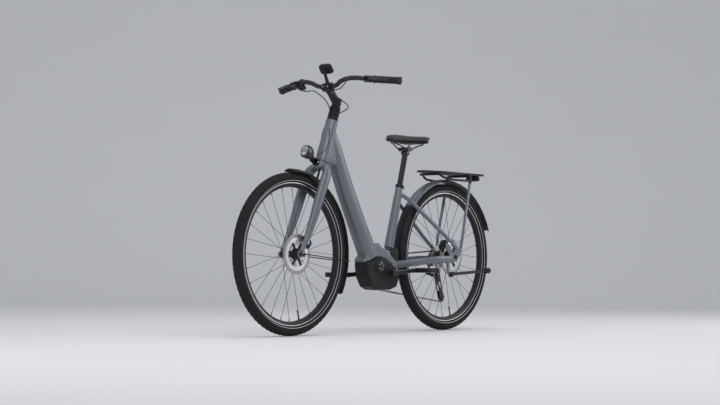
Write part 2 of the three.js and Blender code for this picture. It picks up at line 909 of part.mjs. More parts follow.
function shiftPivot() {
  const { place, lift } = shifterFrame();
  return place.clone().addScaledVector(lift, -barRadius - shifterDepth * 0.8 - seatGap);
}

function shiftPaddle() {
  const { run, forward, lift } = shifterFrame();
  const top = shiftPivot();
  const middle = top.clone().addScaledVector(lift, -leverThickness * 0.5);
  const hub = pin(shifterDepth * 0.45, -leverThickness * 0.8, 0, top, lift, 12);
  const arm = tapered(
    [
      [middle, leverThickness * 0.8, leverThickness * 0.22],
      [
        middle.clone().addScaledVector(run, shifterPaddle * 0.6).addScaledVector(
          forward,
          -shifterPaddle * 0.55,
        ),
        leverThickness * 0.7,
        leverThickness * 0.22,
      ],
      [
        middle.clone().addScaledVector(run, shifterPaddle).addScaledVector(forward, -shifterPaddle * 0.8),
        leverThickness * 0.9,
        leverThickness * 0.22,
      ],
    ],
    { sides: 8, power: 3, sideways: forward.clone().add(run).normalize() },
  );
  return joined(hub, arm);
}

// The display faces up and back; the cup under it turns on the barrel that ends the mast.
const displayTilt = 0.6;
function display() {
  const outline = oval(displayHeight / 2, displayWidth / 2, 16, 5);
  const small = outline.map(([a, b]) => [a * 0.93, b * 0.95]);
  const side = along(Math.cos(displayTilt), 0, Math.sin(displayTilt));
  const face = along(-Math.sin(displayTilt), 0, Math.cos(displayTilt));
  const at = (height) => displayPivot.clone().addScaledVector(face, height);
  const under = mastBarrel * 1.4;
  const casing = loft([
    { centre: at(under), side, rise: left, outline: small },
    { centre: at(under + displayDepth * 0.85), side, rise: left, outline },
    { centre: at(under + displayDepth), side, rise: left, outline: small },
  ]);
  const cup = oval(mastBarrel * 1.5, displayWidth * 0.2, 12, 5);
  const block = loft([
    { centre: at(mastBarrel * 0.5), side, rise: left, outline: cup },
    { centre: at(under + displayDepth / 2), side, rise: left, outline: cup },
  ]);
  const barrelRoom = pin(mastBarrel + seatGap, -displayWidth, displayWidth, displayPivot, left, 16);
  return cut(joined(casing, block), barrelRoom);
}

// The lamp on its bracket, bolted to the front of the fork crown.
const lampHinge = along(crownRadius + headlightForward * 0.36, 0, crownRace - headlightDrop);
function headlightBracket() {
  const low = crownRace - crownHeight / 2;
  const front = crownRadius + seatGap;
  const half = guardThickness * 1.6;
  const outline = [
    [front, low - crownHeight * 0.3],
    [front + 2 * half, low - crownHeight * 0.3],
    [front + 2 * half, low + crownHeight * 0.2],
    [lampHinge.x, lampHinge.z - headlightHeight * 0.3],
    [lampHinge.x, lampHinge.z],
    [lampHinge.x - 2 * half, lampHinge.z],
    [lampHinge.x - 2 * half, lampHinge.z - headlightHeight * 0.24],
    [front, low + crownHeight * 0.3],
  ];
  const reach = headlightWidth * 0.28;
  return joined(plate(outline, -reach, reach), pin(lampBarrel, -reach, reach, lampHinge, left, 16));
}

function headlight() {
  const back = lampHinge.x + lampBarrel * 0.7;
  const middle = lampHinge.z + headlightHeight * 0.12;
  const at = (x) => along(x, 0, middle);
  const ringAt = (x, share, power) => ({
    centre: at(x),
    side: left,
    rise: up,
    outline: oval((headlightWidth / 2) * share, (headlightHeight / 2) * share, 16, power),
  });
  const shell = loft([
    ringAt(back, 0.55, 2.5),
    ringAt(back + headlightDepth * 0.3, 0.9, 3),
    ringAt(back + headlightDepth * 0.8, 1, 3),
    ringAt(back + headlightDepth * 0.93, 1, 3),
    ringAt(back + headlightDepth, 0.86, 3),
  ]);
  const barrelRoom = pin(lampBarrel + seatGap, -headlightWidth, headlightWidth, lampHinge, left, 16);
  return cut(shell, barrelRoom);
}

// A mudguard: a thin arched section swept round the wheel from one angle to the other.
function guard(radius, growth, fromDegrees, toDegrees, steps) {
  const from = THREE.MathUtils.degToRad(fromDegrees);
  const to = THREE.MathUtils.degToRad(toDegrees);
  const arch = (half, skirt, count) =>
    Array.from({ length: count }, (_, k) => {
      const turn = Math.PI * (k / (count - 1));
      return [half * Math.cos(turn), skirt * (Math.sin(turn) - 1)];
    });
  const outside = arch(guardHalfWidth, guardSkirt, 6);
  const inside = arch(guardHalfWidth - guardThickness, guardSkirt, 4)
    .map(([a, b]) => [a, b - (b > -guardSkirt * 0.9 ? guardThickness : 0)])
    .reverse();
  return loft(
    Array.from({ length: steps + 1 }, (_, k) => {
      const turn = from + ((to - from) * k) / steps;
      const reach = radius + (growth * k) / steps;
      const rise = along(Math.cos(turn), 0, Math.sin(turn));
      return {
        centre: rise.clone().multiplyScalar(reach),
        side: left,
        rise,
        outline: [...outside, ...inside],
      };
    }),
  );
}

function guardPlace(radius, degrees, y = 0) {
  const turn = THREE.MathUtils.degToRad(degrees);
  return along(radius * Math.cos(turn), y, radius * Math.sin(turn));
}

const frontGuardEnds = [88, 208];
function frontGuard() {
  const shell = guard(frontGuardRadius, 0, frontGuardEnds[0], frontGuardEnds[1], 18);
  const stayDegrees = 184;
  const stay = (sign) => {
    const edge = guardPlace(
      frontGuardRadius - guardSkirt * 0.5,
      stayDegrees,
      sign * (guardHalfWidth - 0.4 * guardThickness),
    );
    const eyelet = along(-dropoutRadius - guardStayRadius - seatGap, sign * bladeSpread, guardStayRadius);
    return rod(edge, eyelet, guardStayRadius, 6);
  };
  const crownBottom = 0.955 * crownRace - 0.915 * bladeTopRadius - seatGap;
  const tangLow = along(0, 0, 0).addScaledVector(headForward, -forkOffset);
  const tang = pin(
    guardThickness * 3,
    frontGuardRadius - 2 * guardThickness,
    crownBottom,
    tangLow,
    headUp,
    10,
  );
  return joined(shell, stay(1), stay(-1), tang);
}

// A disc caliper straddling its rotor; the slot opens towards the axle.
const caliperReach = rotorRadius - rotorTrack / 2 + caliperDepth * 0.12;
const rearCaliperTurn = THREE.MathUtils.degToRad(42);
function caliper(y, turn) {
  const body = plate(
    [
      [-caliperLength / 2, -caliperDepth / 2],
      [caliperLength / 2, -caliperDepth / 2],
      [caliperLength * 0.42, caliperDepth * 0.35],
      [caliperLength * 0.2, caliperDepth / 2],
      [-caliperLength * 0.2, caliperDepth / 2],
      [-caliperLength * 0.42, caliperDepth * 0.35],
    ],
    y - caliperWidth / 2,
    y + caliperWidth / 2,
    [],
    2,
  );
  const slot = box(2 * caliperLength, caliperSlot, caliperDepth, along(0, y, -caliperDepth * 0.35));
  const block = cut(body, slot);
  block.rotateY(Math.PI / 2 - turn);
  block.translate(caliperReach * Math.cos(turn), 0, caliperReach * Math.sin(turn));
  return block;
}

// The rear caliper is bolted to a tab on the left dropout through a short boss.
const rearCaliperPlace = along(
  caliperReach * Math.cos(rearCaliperTurn) - wheelbase,
  0,
  caliperReach * Math.sin(rearCaliperTurn) + hubZ,
);
function rearCaliper() {
  const block = caliper(rearHub.discMount, rearCaliperTurn).translate(-wheelbase, 0, hubZ);
  const outer = rearHub.discMount + caliperWidth / 2;
  const boss = pin(caliperDepth * 0.24, outer - seatGap, rearHub.spacing / 2, rearCaliperPlace, left, 12);
  return joined(block, boss);
}

// Main frame
const downTubeShares = [
  [0, 0, 0.84, 0.72],
  [0.1, 0.006, 0.88, 0.9],
  [0.24, 0.014, 0.93, 1],
  [0.45, 0.02, 1, 1],
  [0.75, 0.012, 1.04, 1.04],
  [1, 0, 1.12, 1.1],
];
const downTubeTop = steered(0, 0, headTop - downTubeBelowTop);
const downTubeFoot = along(crankCentreX + downTubeFootAhead, 0, crankCentreZ + downTubeFootRise);
function downTubeBody(spare = 0) {
  const run = downTubeFoot.clone().sub(downTubeTop);
  const reach = run.length();
  const across = along(-run.z, 0, run.x).normalize();
  return tapered(
    downTubeShares.map(([share, bowShare, depthShare, widthShare]) => [
      downTubeTop
        .clone()
        .addScaledVector(run, share * (1 + spare / reach))
        .addScaledVector(across, bowShare * reach),
      (downTubeWidth / 2) * widthShare + spare,
      (downTubeDepth / 2) * depthShare + spare,
    ]),
    { sides: 16, power: 2.8 },
  );
}

function downTube() {
  const head = pin(
    headTubeTopRadius + seatGap,
    crownRace - cutOver,
    headTop + cutOver,
    along(0, 0, 0),
    up,
    24,
  );
  head.rotateY(-leanBack);
  head.translate(headFoot.x, 0, headFoot.z);
  return cut(downTubeBody(), head);
}

// The bracket over the motor, which also carries the seat tube.
const cradleHalfWidth = 34;
const motorTopShares = [
  [1.13, 0.3],
  [0.84, 0.36],
  [0.62, 0.46],
  [0.36, 0.47],
  [0.12, 0.4],
  [-0.1, 0.28],
  [-0.32, 0.13],
  [-0.5, 0.08],
];
const motorReach = 150;
const motorPoint = ([forwardShare, riseShare]) => [
  crankCentreX + forwardShare * motorReach,
  crankCentreZ + riseShare * motorReach,
];
const motorLowShares = [
  [-0.52, -0.2],
  [-0.42, -0.44],
  [-0.1, -0.54],
  [0.62, -0.54],
  [0.86, -0.44],
  [1.06, -0.14],
];
function driveMotor() {
  const outline = [...motorTopShares, ...motorLowShares].map(motorPoint);
  const housing = plate(outline, -motorHalfWidth, motorHalfWidth, [], motorHalfWidth * 0.2);
  const cover = turned(
    [
      [0, motorHalfWidth - seatGap],
      [motorCoverRadius, motorHalfWidth - seatGap],
      [motorCoverRadius * 0.94, motorHalfWidth * 1.16],
      [motorCoverRadius * 0.6, motorHalfWidth * 1.22],
      [0, motorHalfWidth * 1.22],
    ],
    18,
    left,
    along(crankCentreX + motorReach * 0.5, 0, crankCentreZ + motorReach * 0.2),
  );
  const sleeve = pin(
    spindleRadius * 2.4,
    -motorHalfWidth * 1.04,
    motorHalfWidth * 1.2,
    crankCentre,
    left,
    14,
  );
  const bore = pin(
    spindleRadius + spindleClearance,
    -2 * motorHalfWidth,
    2 * motorHalfWidth,
    crankCentre,
    left,
    16,
  );
  return cut(joined(housing, cover, sleeve), bore);
}

const cradleTopShares = [
  [-0.56, 0.36],
  [-0.42, 0.66],
  [-0.2, 0.71],
  [0.02, 0.72],
  [0.28, 0.78],
  [0.42, 0.92],
  [0.72, 0.86],
  [1.22, 0.36],
];
function seatTube() {
  const motorTop = motorTopShares.map(motorPoint).map(([x, z]) => [x, z + 2 * seatGap]);
  const outline = [...motorTop, ...cradleTopShares.map(motorPoint)];
  const cradle = plate(outline, -cradleHalfWidth, cradleHalfWidth, [], cradleHalfWidth * 0.2);
  const foot = seatTop.clone().addScaledVector(seatUp, -seatTubeLength - 2.5 * seatTubeRadius);
  const tube = rod(foot, seatTop, seatTubeRadius, 16);
  const bore = rod(
    seatTop.clone().addScaledVector(seatUp, -seatBoreDepth),
    seatTop.clone().addScaledVector(seatUp, cutOver),
    seatPostRadius + 2 * seatGap,
    14,
  );
  const chainRoom = box(
    3 * motorReach,
    chainWidth * 4,
    2 * motorReach,
    along(crankCentreX, chainLine, crankCentreZ + motorReach * 0.5),
  );
  const stayRoom = (sign) =>
    box(
      motorReach * 0.6,
      cradleHalfWidth * 1.2,
      motorReach,
      along(
        stayRootX + seatGap - motorReach * 0.3,
        sign * cradleHalfWidth * 0.98,
        crankCentreZ + motorReach * 0.3,
      ),
    );
  return cut(joined(cradle, tube), bore, downTubeBody(seatGap), chainRoom, stayRoom(1), stayRoom(-1));
}

// Stays: from the bracket and the seat tube back to the dropouts.
const stayRootX = -722;
const dropoutX = -wheelbase;
function chainstay(sign) {
  const inner = rearHub.spacing / 2 + seatGap;
  const y = (share) => sign * share;
  const root = along(
    stayRootX - chainstayWidth * 0.25,
    y(cradleHalfWidth * 0.66),
    crankCentreZ + chainstayDepth * 1.18,
  );
  const stations = [
    [root, chainstayWidth * 0.42, chainstayDepth * 0.5],
    [
      root.clone().lerp(along(dropoutX, 0, hubZ), 0.14).setY(y(guardHalfWidth + chainstayWidth * 0.42)),
      chainstayWidth * 0.4,
      chainstayDepth * 0.46,
    ],
    [
      root.clone().lerp(along(dropoutX, 0, hubZ), 0.4).setY(y(stayHalfSpacing - chainstayWidth)),
      chainstayWidth * 0.42,
      chainstayDepth * 0.46,
    ],
    [
      root.clone().lerp(along(dropoutX, 0, hubZ), 0.66).setY(y(stayHalfSpacing)),
      chainstayWidth * 0.45,
      chainstayDepth * 0.48,
    ],
    [
      along(
        dropoutX + rearDropoutLength * 0.8,
        y(stayHalfSpacing + dropoutThickness * 0.3),
        hubZ - chainstayDepth * 0.35,
      ),
      chainstayWidth * 0.42,
      chainstayDepth * 0.48,
    ],
  ];
  const stay = tapered(stations, { sides: 12, power: 2.8 });
  const half = rearDropoutLength / 2;
  const low = hubZ - rearDropoutHeight * 0.36;
  const high = hubZ + rearDropoutHeight * 0.64;
  const boss = caliperDepth * 0.4;
  const tab = [
    [rearCaliperPlace.x + boss, rearCaliperPlace.z - boss],
    [rearCaliperPlace.x + boss, rearCaliperPlace.z + boss * 0.6],
    [rearCaliperPlace.x - boss * 0.6, rearCaliperPlace.z + boss * 0.6],
  ];
  const outline = [
    [dropoutX + rearDropoutLength, low],
    [dropoutX + rearDropoutLength, hubZ - chainstayDepth * 0.1],
    ...(sign > 0 ? tab : []),
    [dropoutX + half * 0.9, hubZ + half * 0.9],
    [dropoutX - half * 0.2, high],
    [rackLegFootX - rackLegRadius, high],
    [rackLegFootX - rackLegRadius, high - rackLegRadius * 1.6],
    [dropoutX - half * 1.2, hubZ - half * 0.1],
    [dropoutX - half * 0.5, low],
  ];
  const hanger = sign < 0 ? [
    [dropoutX - hangerReach * 0.6, low - hangerDrop],
    [dropoutX + hangerReach, low - hangerDrop],
  ] : [];
  const lowOutline = [...outline, ...hanger];
  const plateLow = Math.min(sign * inner, sign * (inner + dropoutThickness - seatGap));
  const end = plate(lowOutline.reverse(), plateLow, plateLow + dropoutThickness - seatGap);
  const bore = pin(
    axleRadius + seatGap,
    plateLow - cutOver,
    plateLow + dropoutThickness + cutOver,
    rearHubCentre,
    left,
    12,
  );
  const nut = rearHub.spacing / 2 + dropoutThickness;
  const nutRoom = pin(
    axleNutRadius * 1.25,
    Math.min(sign * nut, sign * (nut + chainstayWidth)),
    Math.max(sign * nut, sign * (nut + chainstayWidth)),
    rearHubCentre,
    left,
    12,
  );
  const parts = [stay, end];
  if (sign > 0) parts.push(standBracket());
  return cut(joined(...parts), bore, nutRoom);
}

const hangerDrop = 23;
const hangerReach = 14;
const standPivot = along(standPivotX, standPivotY, standPivotZ);
const standAxis = along(...standAxisShares).normalize();
function standBracket() {
  const top = along(standPivotX + standRadius, stayHalfSpacing, hubZ - chainstayDepth * 0.45);
  const seat = standPivot.clone().addScaledVector(standAxis, standRadius * 0.8);
  const arm = tapered(
    [
      [top, standRadius * 0.9, standRadius * 1.6],
      [
        top.clone().lerp(seat, 0.6).add(along(0, -standRadius * 0.4, 0)),
        standRadius * 0.6,
        standRadius * 1.4,
      ],
      [seat, standRadius * 0.7, standRadius * 1.4],
      [seat.clone().add(along(0, 0, -standRadius * 0.9)), standRadius * 0.6, standRadius * 1.1],
    ],
    { sides: 8, power: 3 },
  );
  const hubRoom = pin(standRadius * 1.7, -standRadius * 5, seatGap, standPivot, standAxis, 16);
  return cut(arm, hubRoom);
}

function standLeg() {
  const foot = along(standFootX, standFootY, standFootZ);
  const start = standPivot.clone().addScaledVector(standAxis, -standRadius * 1.1);
  const hub = pin(standRadius * 1.5, -standRadius * 2, 0, standPivot, standAxis, 16);
  const leg = tapered(
    [
      [start, standRadius, standRadius],
      [start.clone().lerp(foot, 0.45), standRadius * 0.85, standRadius * 0.95],
      [start.clone().lerp(foot, 0.9), standRadius * 0.8, standRadius * 0.8],
      [foot, standRadius * 0.8, standRadius * 1.5],
    ],
    { sides: 10 },
  );
  return joined(hub, leg);
}

const seatstayTop = seatTop.clone().addScaledVector(seatUp, -34);
function seatstay(sign) {
  const end = along(dropoutX - rearDropoutLength * 0.3, 0, hubZ + rearDropoutHeight * 0.64);
  const inner = rearHub.spacing / 2 + dropoutThickness / 2;
  const stations = [
    [seatstayTop.clone().add(along(-seatTubeRadius * 0.4, sign * seatTubeRadius * 0.95, 0)), 0.9],
    [seatstayTop.clone().lerp(end, 0.13).setY(sign * (guardHalfWidth + seatstayRadius * 1.2)), 1],
    [seatstayTop.clone().lerp(end, 0.34).setY(sign * (guardHalfWidth + seatstayRadius * 2.2)), 1],
    [seatstayTop.clone().lerp(end, 0.75).setY(sign * (inner - seatstayRadius * 0.3)), 0.95],
    [end.clone().add(along(0, 0, seatGap)).setY(sign * inner), 0.8],
  ].map(([place, share]) => [place, seatstayRadius * share, seatstayRadius * 1.2 * share]);
  const stay = tapered(stations, { sides: 12 });
  const tubeRoom = rod(
    seatTop.clone().addScaledVector(seatUp, -seatTubeLength),
    seatTop.clone().addScaledVector(seatUp, seatTubeRadius),
    seatTubeRadius + seatGap,
    20,
  );
  const dropoutRoom = box(
    rearDropoutLength * 2,
    dropoutThickness * 4,
    rearDropoutHeight,
    along(dropoutX, sign * inner, hubZ + rearDropoutHeight * 0.14 + seatGap),
  );
  return cut(stay, tubeRoom, dropoutRoom);
}

// Seat
function seatClamp() {
  const low = seatTop.clone().addScaledVector(seatUp, seatGap);
  const inside = seatPostRadius + 2 * seatGap;
  const outside = seatTubeRadius + collarWall;
  const collar = turned(
    [
      [inside, 0],
      [outside, 0],
      [outside, collarHeight],
      [inside, collarHeight],
      [inside, 0],
    ],
    14,
    seatUp,
    low,
  );
  const ear = box(
    4 * collarWall,
    4 * collarWall,
    collarHeight * 0.8,
    along(-outside - 1.4 * collarWall, 0, collarHeight / 2),
  );
  ear.rotateY(-(Math.PI / 2 - seatAngle)).translate(low.x, low.y, low.z);
  return joined(collar, ear);
}

const postHead = seatTop.clone().addScaledVector(seatUp, seatPostRise);
function seatPost() {
  const foot = seatTop.clone().addScaledVector(seatUp, -seatPostInsert);
  const tube = rod(foot, postHead, seatPostRadius, 16);
  const barrel = pin(seatPostRadius, -railSpacing * 0.36, railSpacing * 0.36, postHead, left, 18);
  return joined(tube, barrel);
}

// Two rails under the saddle, in a clamp block that tilts on the barrel across the post's head.
const railZ = postHead.z + seatPostRadius + railRadius * 2;
const saddleNoseX = -679;
const saddleRearX = saddleNoseX - saddleLength;
const saddleBaseZ = saddleTopZ - saddleThickness;
function saddleRails() {
  const rail = (sign) =>
    bentRod(
      [
        along(saddleNoseX - saddleLength * 0.16, sign * railSpacing * 0.16, saddleBaseZ + railRadius),
        along(
          saddleNoseX - saddleLength * 0.3,
          sign * railSpacing * 0.34,
          (saddleBaseZ + railZ) / 2 + railRadius,
        ),
        along(saddleNoseX - saddleLength * 0.42, sign * railSpacing * 0.5, railZ),
        along(saddleNoseX - saddleLength * 0.66, sign * railSpacing * 0.5, railZ),
        along(
          saddleNoseX - saddleLength * 0.78,
          sign * railSpacing * 0.62,
          (saddleBaseZ + railZ) / 2 + railRadius,
        ),
        along(saddleNoseX - saddleLength * 0.88, sign * railSpacing * 0.95, saddleBaseZ + railRadius),
      ],
      railRadius,
      6,
      11,
    );
  const blockLow = postHead.z + seatPostRadius * 0.55;
  const blockHigh = railZ + railRadius * 1.6;
  const clamp = plate(
    oval(seatPostRadius * 1.4, (blockHigh - blockLow) / 2, 12, 4).map(([x, z]) => [
      postHead.x + x,
      (blockLow + blockHigh) / 2 + z,
    ]),
    -railSpacing * 0.66,
    railSpacing * 0.66,
  );
  const barrelRoom = pin(seatPostRadius + seatGap, -railSpacing, railSpacing, postHead, left, 18);
  return cut(joined(rail(1), rail(-1), clamp), saddleBody(seatGap), barrelRoom);
}

// The saddle: a wide soft rear that narrows to the nose, crowned across and drooping at both ends.
const saddleShares = [
  [0, 0.5, 0.3, 0.74],
  [0.04, 0.9, 0.62, 0.8],
  [0.16, 1.1, 0.8, 0.88],
  [0.34, 1.45, 0.86, 0.94],
  [0.52, 2.35, 0.9, 0.95],
  [0.7, 3.3, 0.96, 0.97],
  [0.86, 3.85, 1, 1],
  [0.95, 3.7, 0.94, 0.98],
  [0.99, 3.2, 0.7, 0.93],
  [1, 2.6, 0.4, 0.84],
];
function saddleBody(spare = 0) {
  return loft(
    saddleShares.map(([share, widthShare, thickShare, topShare]) => {
      const half = Math.min(widthShare * saddleNoseHalfWidth, saddleHalfWidth) + spare;
      const top = saddleBaseZ + saddleThickness * topShare + spare;
      const thick = saddleThickness * thickShare + 2 * spare;
      const count = 18;
      const outline = Array.from({ length: count }, (_, k) => {
        const turn = ((k + 0.5) / count) * 2 * Math.PI;
        const across = half * Math.cos(turn);
        const crown = Math.sin(turn) > 0 ? 1 : 0.8;
        const height = (thick / 2) * Math.sign(Math.sin(turn)) * Math.abs(Math.sin(turn)) ** 0.6 * crown;
        const droop = Math.sin(turn) > 0 ? thick * 0.22 * (across / half) ** 2 : 0;
        return [across, height - droop];
      });
      return {
        centre: along(saddleNoseX - share * saddleLength, 0, top - thick / 2),
        side: left,
        rise: up,
        outline,
      };
    }),
  );
}

// Rack: a slotted carrying plate on two painted legs with a rail each side for bags.
const rackPlateShares = [
  [0, 0.3],
  [0.02, 0.42],
  [0.1, 0.62],
  [0.22, 0.92],
  [0.34, 1],
  [0.94, 1],
  [0.98, 0.9],
  [1, 0.7],
];
const rackRun = rackFrontX - rackRearX;
function rackPlatform() {
  const edge = rackPlateShares.map(([share, widthShare]) => [
    rackFrontX - share * rackRun,
    widthShare * rackHalfWidth,
  ]);
  const outline = [...edge, ...edge.map(([x, y]) => [x, -y]).reverse()];
  const slot = (fromShare, toShare, y) => {
    const half = rackHalfWidth * 0.11;
    const a = rackFrontX - toShare * rackRun;
    const b = rackFrontX - fromShare * rackRun;
    return [[a, y - half], [b, y - half], [b + half, y], [b, y + half], [a, y + half], [a - half, y]];
  };
  const rows = [-0.55, 0, 0.55].map((share) => share * rackHalfWidth);
  const holes = rows.flatMap((y) => [slot(0.4, 0.62, y), slot(0.7, 0.9, y)]);
  holes.push(slot(0.14, 0.32, 0));
  const sheet = plate(outline, -rackPlateThickness, 0, holes);
  sheet.rotateX(-Math.PI / 2);
  sheet.translate(0, 0, rackTopZ - rackPlateThickness);
  return sheet;
}

const rackLegFootZ = hubZ + rearDropoutHeight * 0.64;
const rackRailZ = 747;
function rackFrame() {
  const under = rackTopZ - rackPlateThickness - seatGap;
  const half = rackHalfWidth + rackLegRadius * 1.1;
  const inner = rearHub.spacing / 2 + dropoutThickness / 2;
  const leg = (sign) =>
    tapered(
      [
        [
          along(rackLegFootX, sign * (inner + rackLegRadius * 0.3), rackLegFootZ - seatGap),
          rackLegRadius * 0.55,
          rackLegRadius * 0.9,
        ],
        [
          along(
            rackLegFootX - 0.12 * (rackLegFootX - rackLegTopX),
            sign * half * 1.06,
            rackLegFootZ + 0.12 * (under - rackLegFootZ),
          ),
          rackLegRadius * 0.7,
          rackLegRadius,
        ],
        [
          along(rackLegTopX, sign * half, under - rackLegRadius * 2.5),
          rackLegRadius * 0.75,
          rackLegRadius,
        ],
        [
          along(rackLegTopX - rackLegRadius * 0.3, sign * half * 0.94, under - rackLegRadius * 0.4),
          rackLegRadius * 0.75,
          rackLegRadius * 0.9,
        ],
      ],
      { sides: 8 },
    );
  const rail = (sign) =>
    bentRod(
      [
        along(rackLegTopX, sign * half, rackRailZ - rackRailRadius),
        along(rackLegTopX + rackRun * 0.28, sign * half, rackRailZ - rackRailRadius),
        along(rackLegTopX + rackRun * 0.42, sign * half * 0.86, rackRailZ),
        along(rackLegTopX + rackRun * 0.5, sign * half * 0.7, under - rackRailRadius),
      ],
      rackRailRadius,
      6,
      8,
    );
  const beam = (x) => rod(
    along(x, -half * 0.9, under - rackRailRadius),
    along(x, half * 0.9, under - rackRailRadius),
    rackRailRadius,
    8,
  );
  const frame = joined(
    leg(1),
    leg(-1),
    rail(1),
    rail(-1),
    beam(rackLegTopX),
    beam(rackLegTopX + rackRun * 0.5),
  );
  const dropoutRoom = box(
    rearDropoutLength,
    4 * stayHalfSpacing,
    rackLegRadius * 2,
    along(rackLegFootX, 0, rackLegFootZ + seatGap - rackLegRadius),
  );
  return cut(frame, dropoutRoom);
}

const rearGuardEnds = [-4, 159];
function rearGuard() {
  const shell = guard(rearGuardRadius, rearGuardTailGrowth, rearGuardEnds[0], rearGuardEnds[1], 22);
  shell.translate(-wheelbase, 0, hubZ);
  return shell;
}

function rearLight() {
  const low = rackTopZ - rackPlateThickness - seatGap;
  const x = rackRearX + rackRun * 0.06;
  const at = (shift, share) => ({
    centre: along(x + shift, 0, low - headlightHeight * 0.22),
    side: left,
    rise: up,
    outline: oval(rackHalfWidth * 0.62 * share, headlightHeight * 0.22 * Math.min(1, share), 16, 4),
  });
  const depth = headlightDepth * 0.55;
  return loft([at(depth / 2, 0.8), at(depth * 0.2, 1), at(-depth * 0.3, 1), at(-depth / 2, 0.86)]);
}

// Drive: toothed rings share one outline, and the chain runs round them on tangents.
function toothOutline(teeth) {
  const radius = pitchRadius(teeth);
  return Array.from({ length: teeth * 2 }, (_, k) => {
    const turn = (k / (2 * teeth)) * 2 * Math.PI;
    const reach = radius + (k % 2 ? toothHeight : -toothHeight);
    return [reach * Math.cos(turn), reach * Math.sin(turn)];
  });
}

function cassette() {
  const discs = cassetteTeeth.map((teeth, k) => {
    const y = chainLine + (k - drivenSprocket) * sprocketSpacing;
    return plate(toothOutline(teeth), y - toothThickness / 2, y + toothThickness / 2);
  });
  const outerY = chainLine - drivenSprocket * sprocketSpacing - toothThickness / 2;
  const innerY = chainLine + (cassetteTeeth.length - 1 - drivenSprocket) * sprocketSpacing;
  const core = ring(
    rearHub.barrel * 0.75 + 2 * seatGap,
    rearHub.barrel * 0.92,
    outerY,
    innerY + sprocketSpacing * 0.6,
    along(0, 0, 0),
    left,
    12,
  );
  const whole = joined(...discs, core);
  const room = pin(
    rearHub.barrel * 0.75 + 2 * seatGap,
    outerY - cutOver,
    innerY + 2 * cutOver,
    along(0, 0, 0),
    left,
    12,
  );
  return cut(whole, room).translate(-wheelbase, 0, hubZ);
}

const guardRingWidth = 3;
function chainring() {
  const radius = pitchRadius(chainringTeeth);
  const windows = Array.from({ length: 5 }, (_, k) => {
    const middle = ((k + 0.5) / 5) * 2 * Math.PI;
    const corner = (reach, half) => [reach * Math.cos(middle + half), reach * Math.sin(middle + half)];
    return [
      corner(radius * 0.8, -0.42),
      corner(radius * 0.83, 0),
      corner(radius * 0.8, 0.42),
      corner(radius * 0.48, 0.3),
      corner(radius * 0.48, -0.3),
    ];
  });
  const toothed = plate(
    toothOutline(chainringTeeth),
    chainLine - toothThickness / 2,
    chainLine + toothThickness / 2,
    windows,
  );
  const y = chainLine - chainWidth / 2 - guardRingWidth;
  const guardRing = ring(
    radius * 0.84,
    radius + toothHeight * 2.6,
    y,
    y + guardRingWidth * 0.7,
    along(0, 0, 0),
    left,
    24,
  );
  const links = Array.from({ length: 5 }, (_, k) => {
    const turn = (k / 5) * 2 * Math.PI;
    return pin(
      toothHeight * 1.4,
      y,
      chainLine,
      along(radius * 0.88 * Math.cos(turn), 0, radius * 0.88 * Math.sin(turn)),
      left,
      8,
    );
  });
  const bore = pin(
    spindleRadius * 1.7 + seatGap,
    chainLine - chainPitch,
    chainLine + chainPitch,
    along(0, 0, 0),
    left,
    16,
  );
  return cut(joined(toothed, guardRing, ...links), bore).translate(crankCentre.x, 0, crankCentre.z);
}

// A crank arm; the right one carries the spindle, and each carries its pedal's axle.
function crank(sign) {
  const turn = sign < 0 ? crankAngle : crankAngle + Math.PI;
  const out = along(Math.cos(turn), 0, Math.sin(turn));
  const half = crankArmThickness / 2;
  const y = sign * crankArmY;
  const at = (share) => crankCentre.clone().addScaledVector(out, share * crankLength).setY(y);
  const arm = tapered(
    [
      [at(-0.1), half * 0.9, spindleRadius * 1.3],
      [at(0), half, spindleRadius * 1.9],
      [at(0.16), half, spindleRadius * 1.5],
      [at(0.5), half * 0.95, spindleRadius * 1.2],
      [at(0.88), half * 0.95, spindleRadius * 1.15],
      [at(1), half * 0.9, spindleRadius * 1.3],
      [at(1.07), half * 0.8, spindleRadius * 0.8],
    ],
    { sides: 10, power: 3 },
  );
  const eye = at(1);
  const outer = crankArmY + half + pedalGap + pedalWidth;
  const axlePin = pin(
    pedalAxleRadius,
    Math.min(y, sign * outer),
    Math.max(y, sign * outer),
    eye.clone().setY(0),
    left,
    10,
  );
  const collar = crankArmY + half + pedalGap * 0.4;
  const shoulder = pin(
    pedalAxleRadius * 1.6,
    Math.min(y, sign * collar),
    Math.max(y, sign * collar),
    eye.clone().setY(0),
    left,
    10,
  );
  const parts = [arm, axlePin, shoulder];
  if (sign < 0) {
    parts.push(pin(spindleRadius, y, crankArmY - half - seatGap, crankCentre, left, 14));
    parts.push(pin(spindleRadius * 1.7, y, chainLine + toothThickness / 2, crankCentre, left, 16));
  }
  return joined(...parts);
}

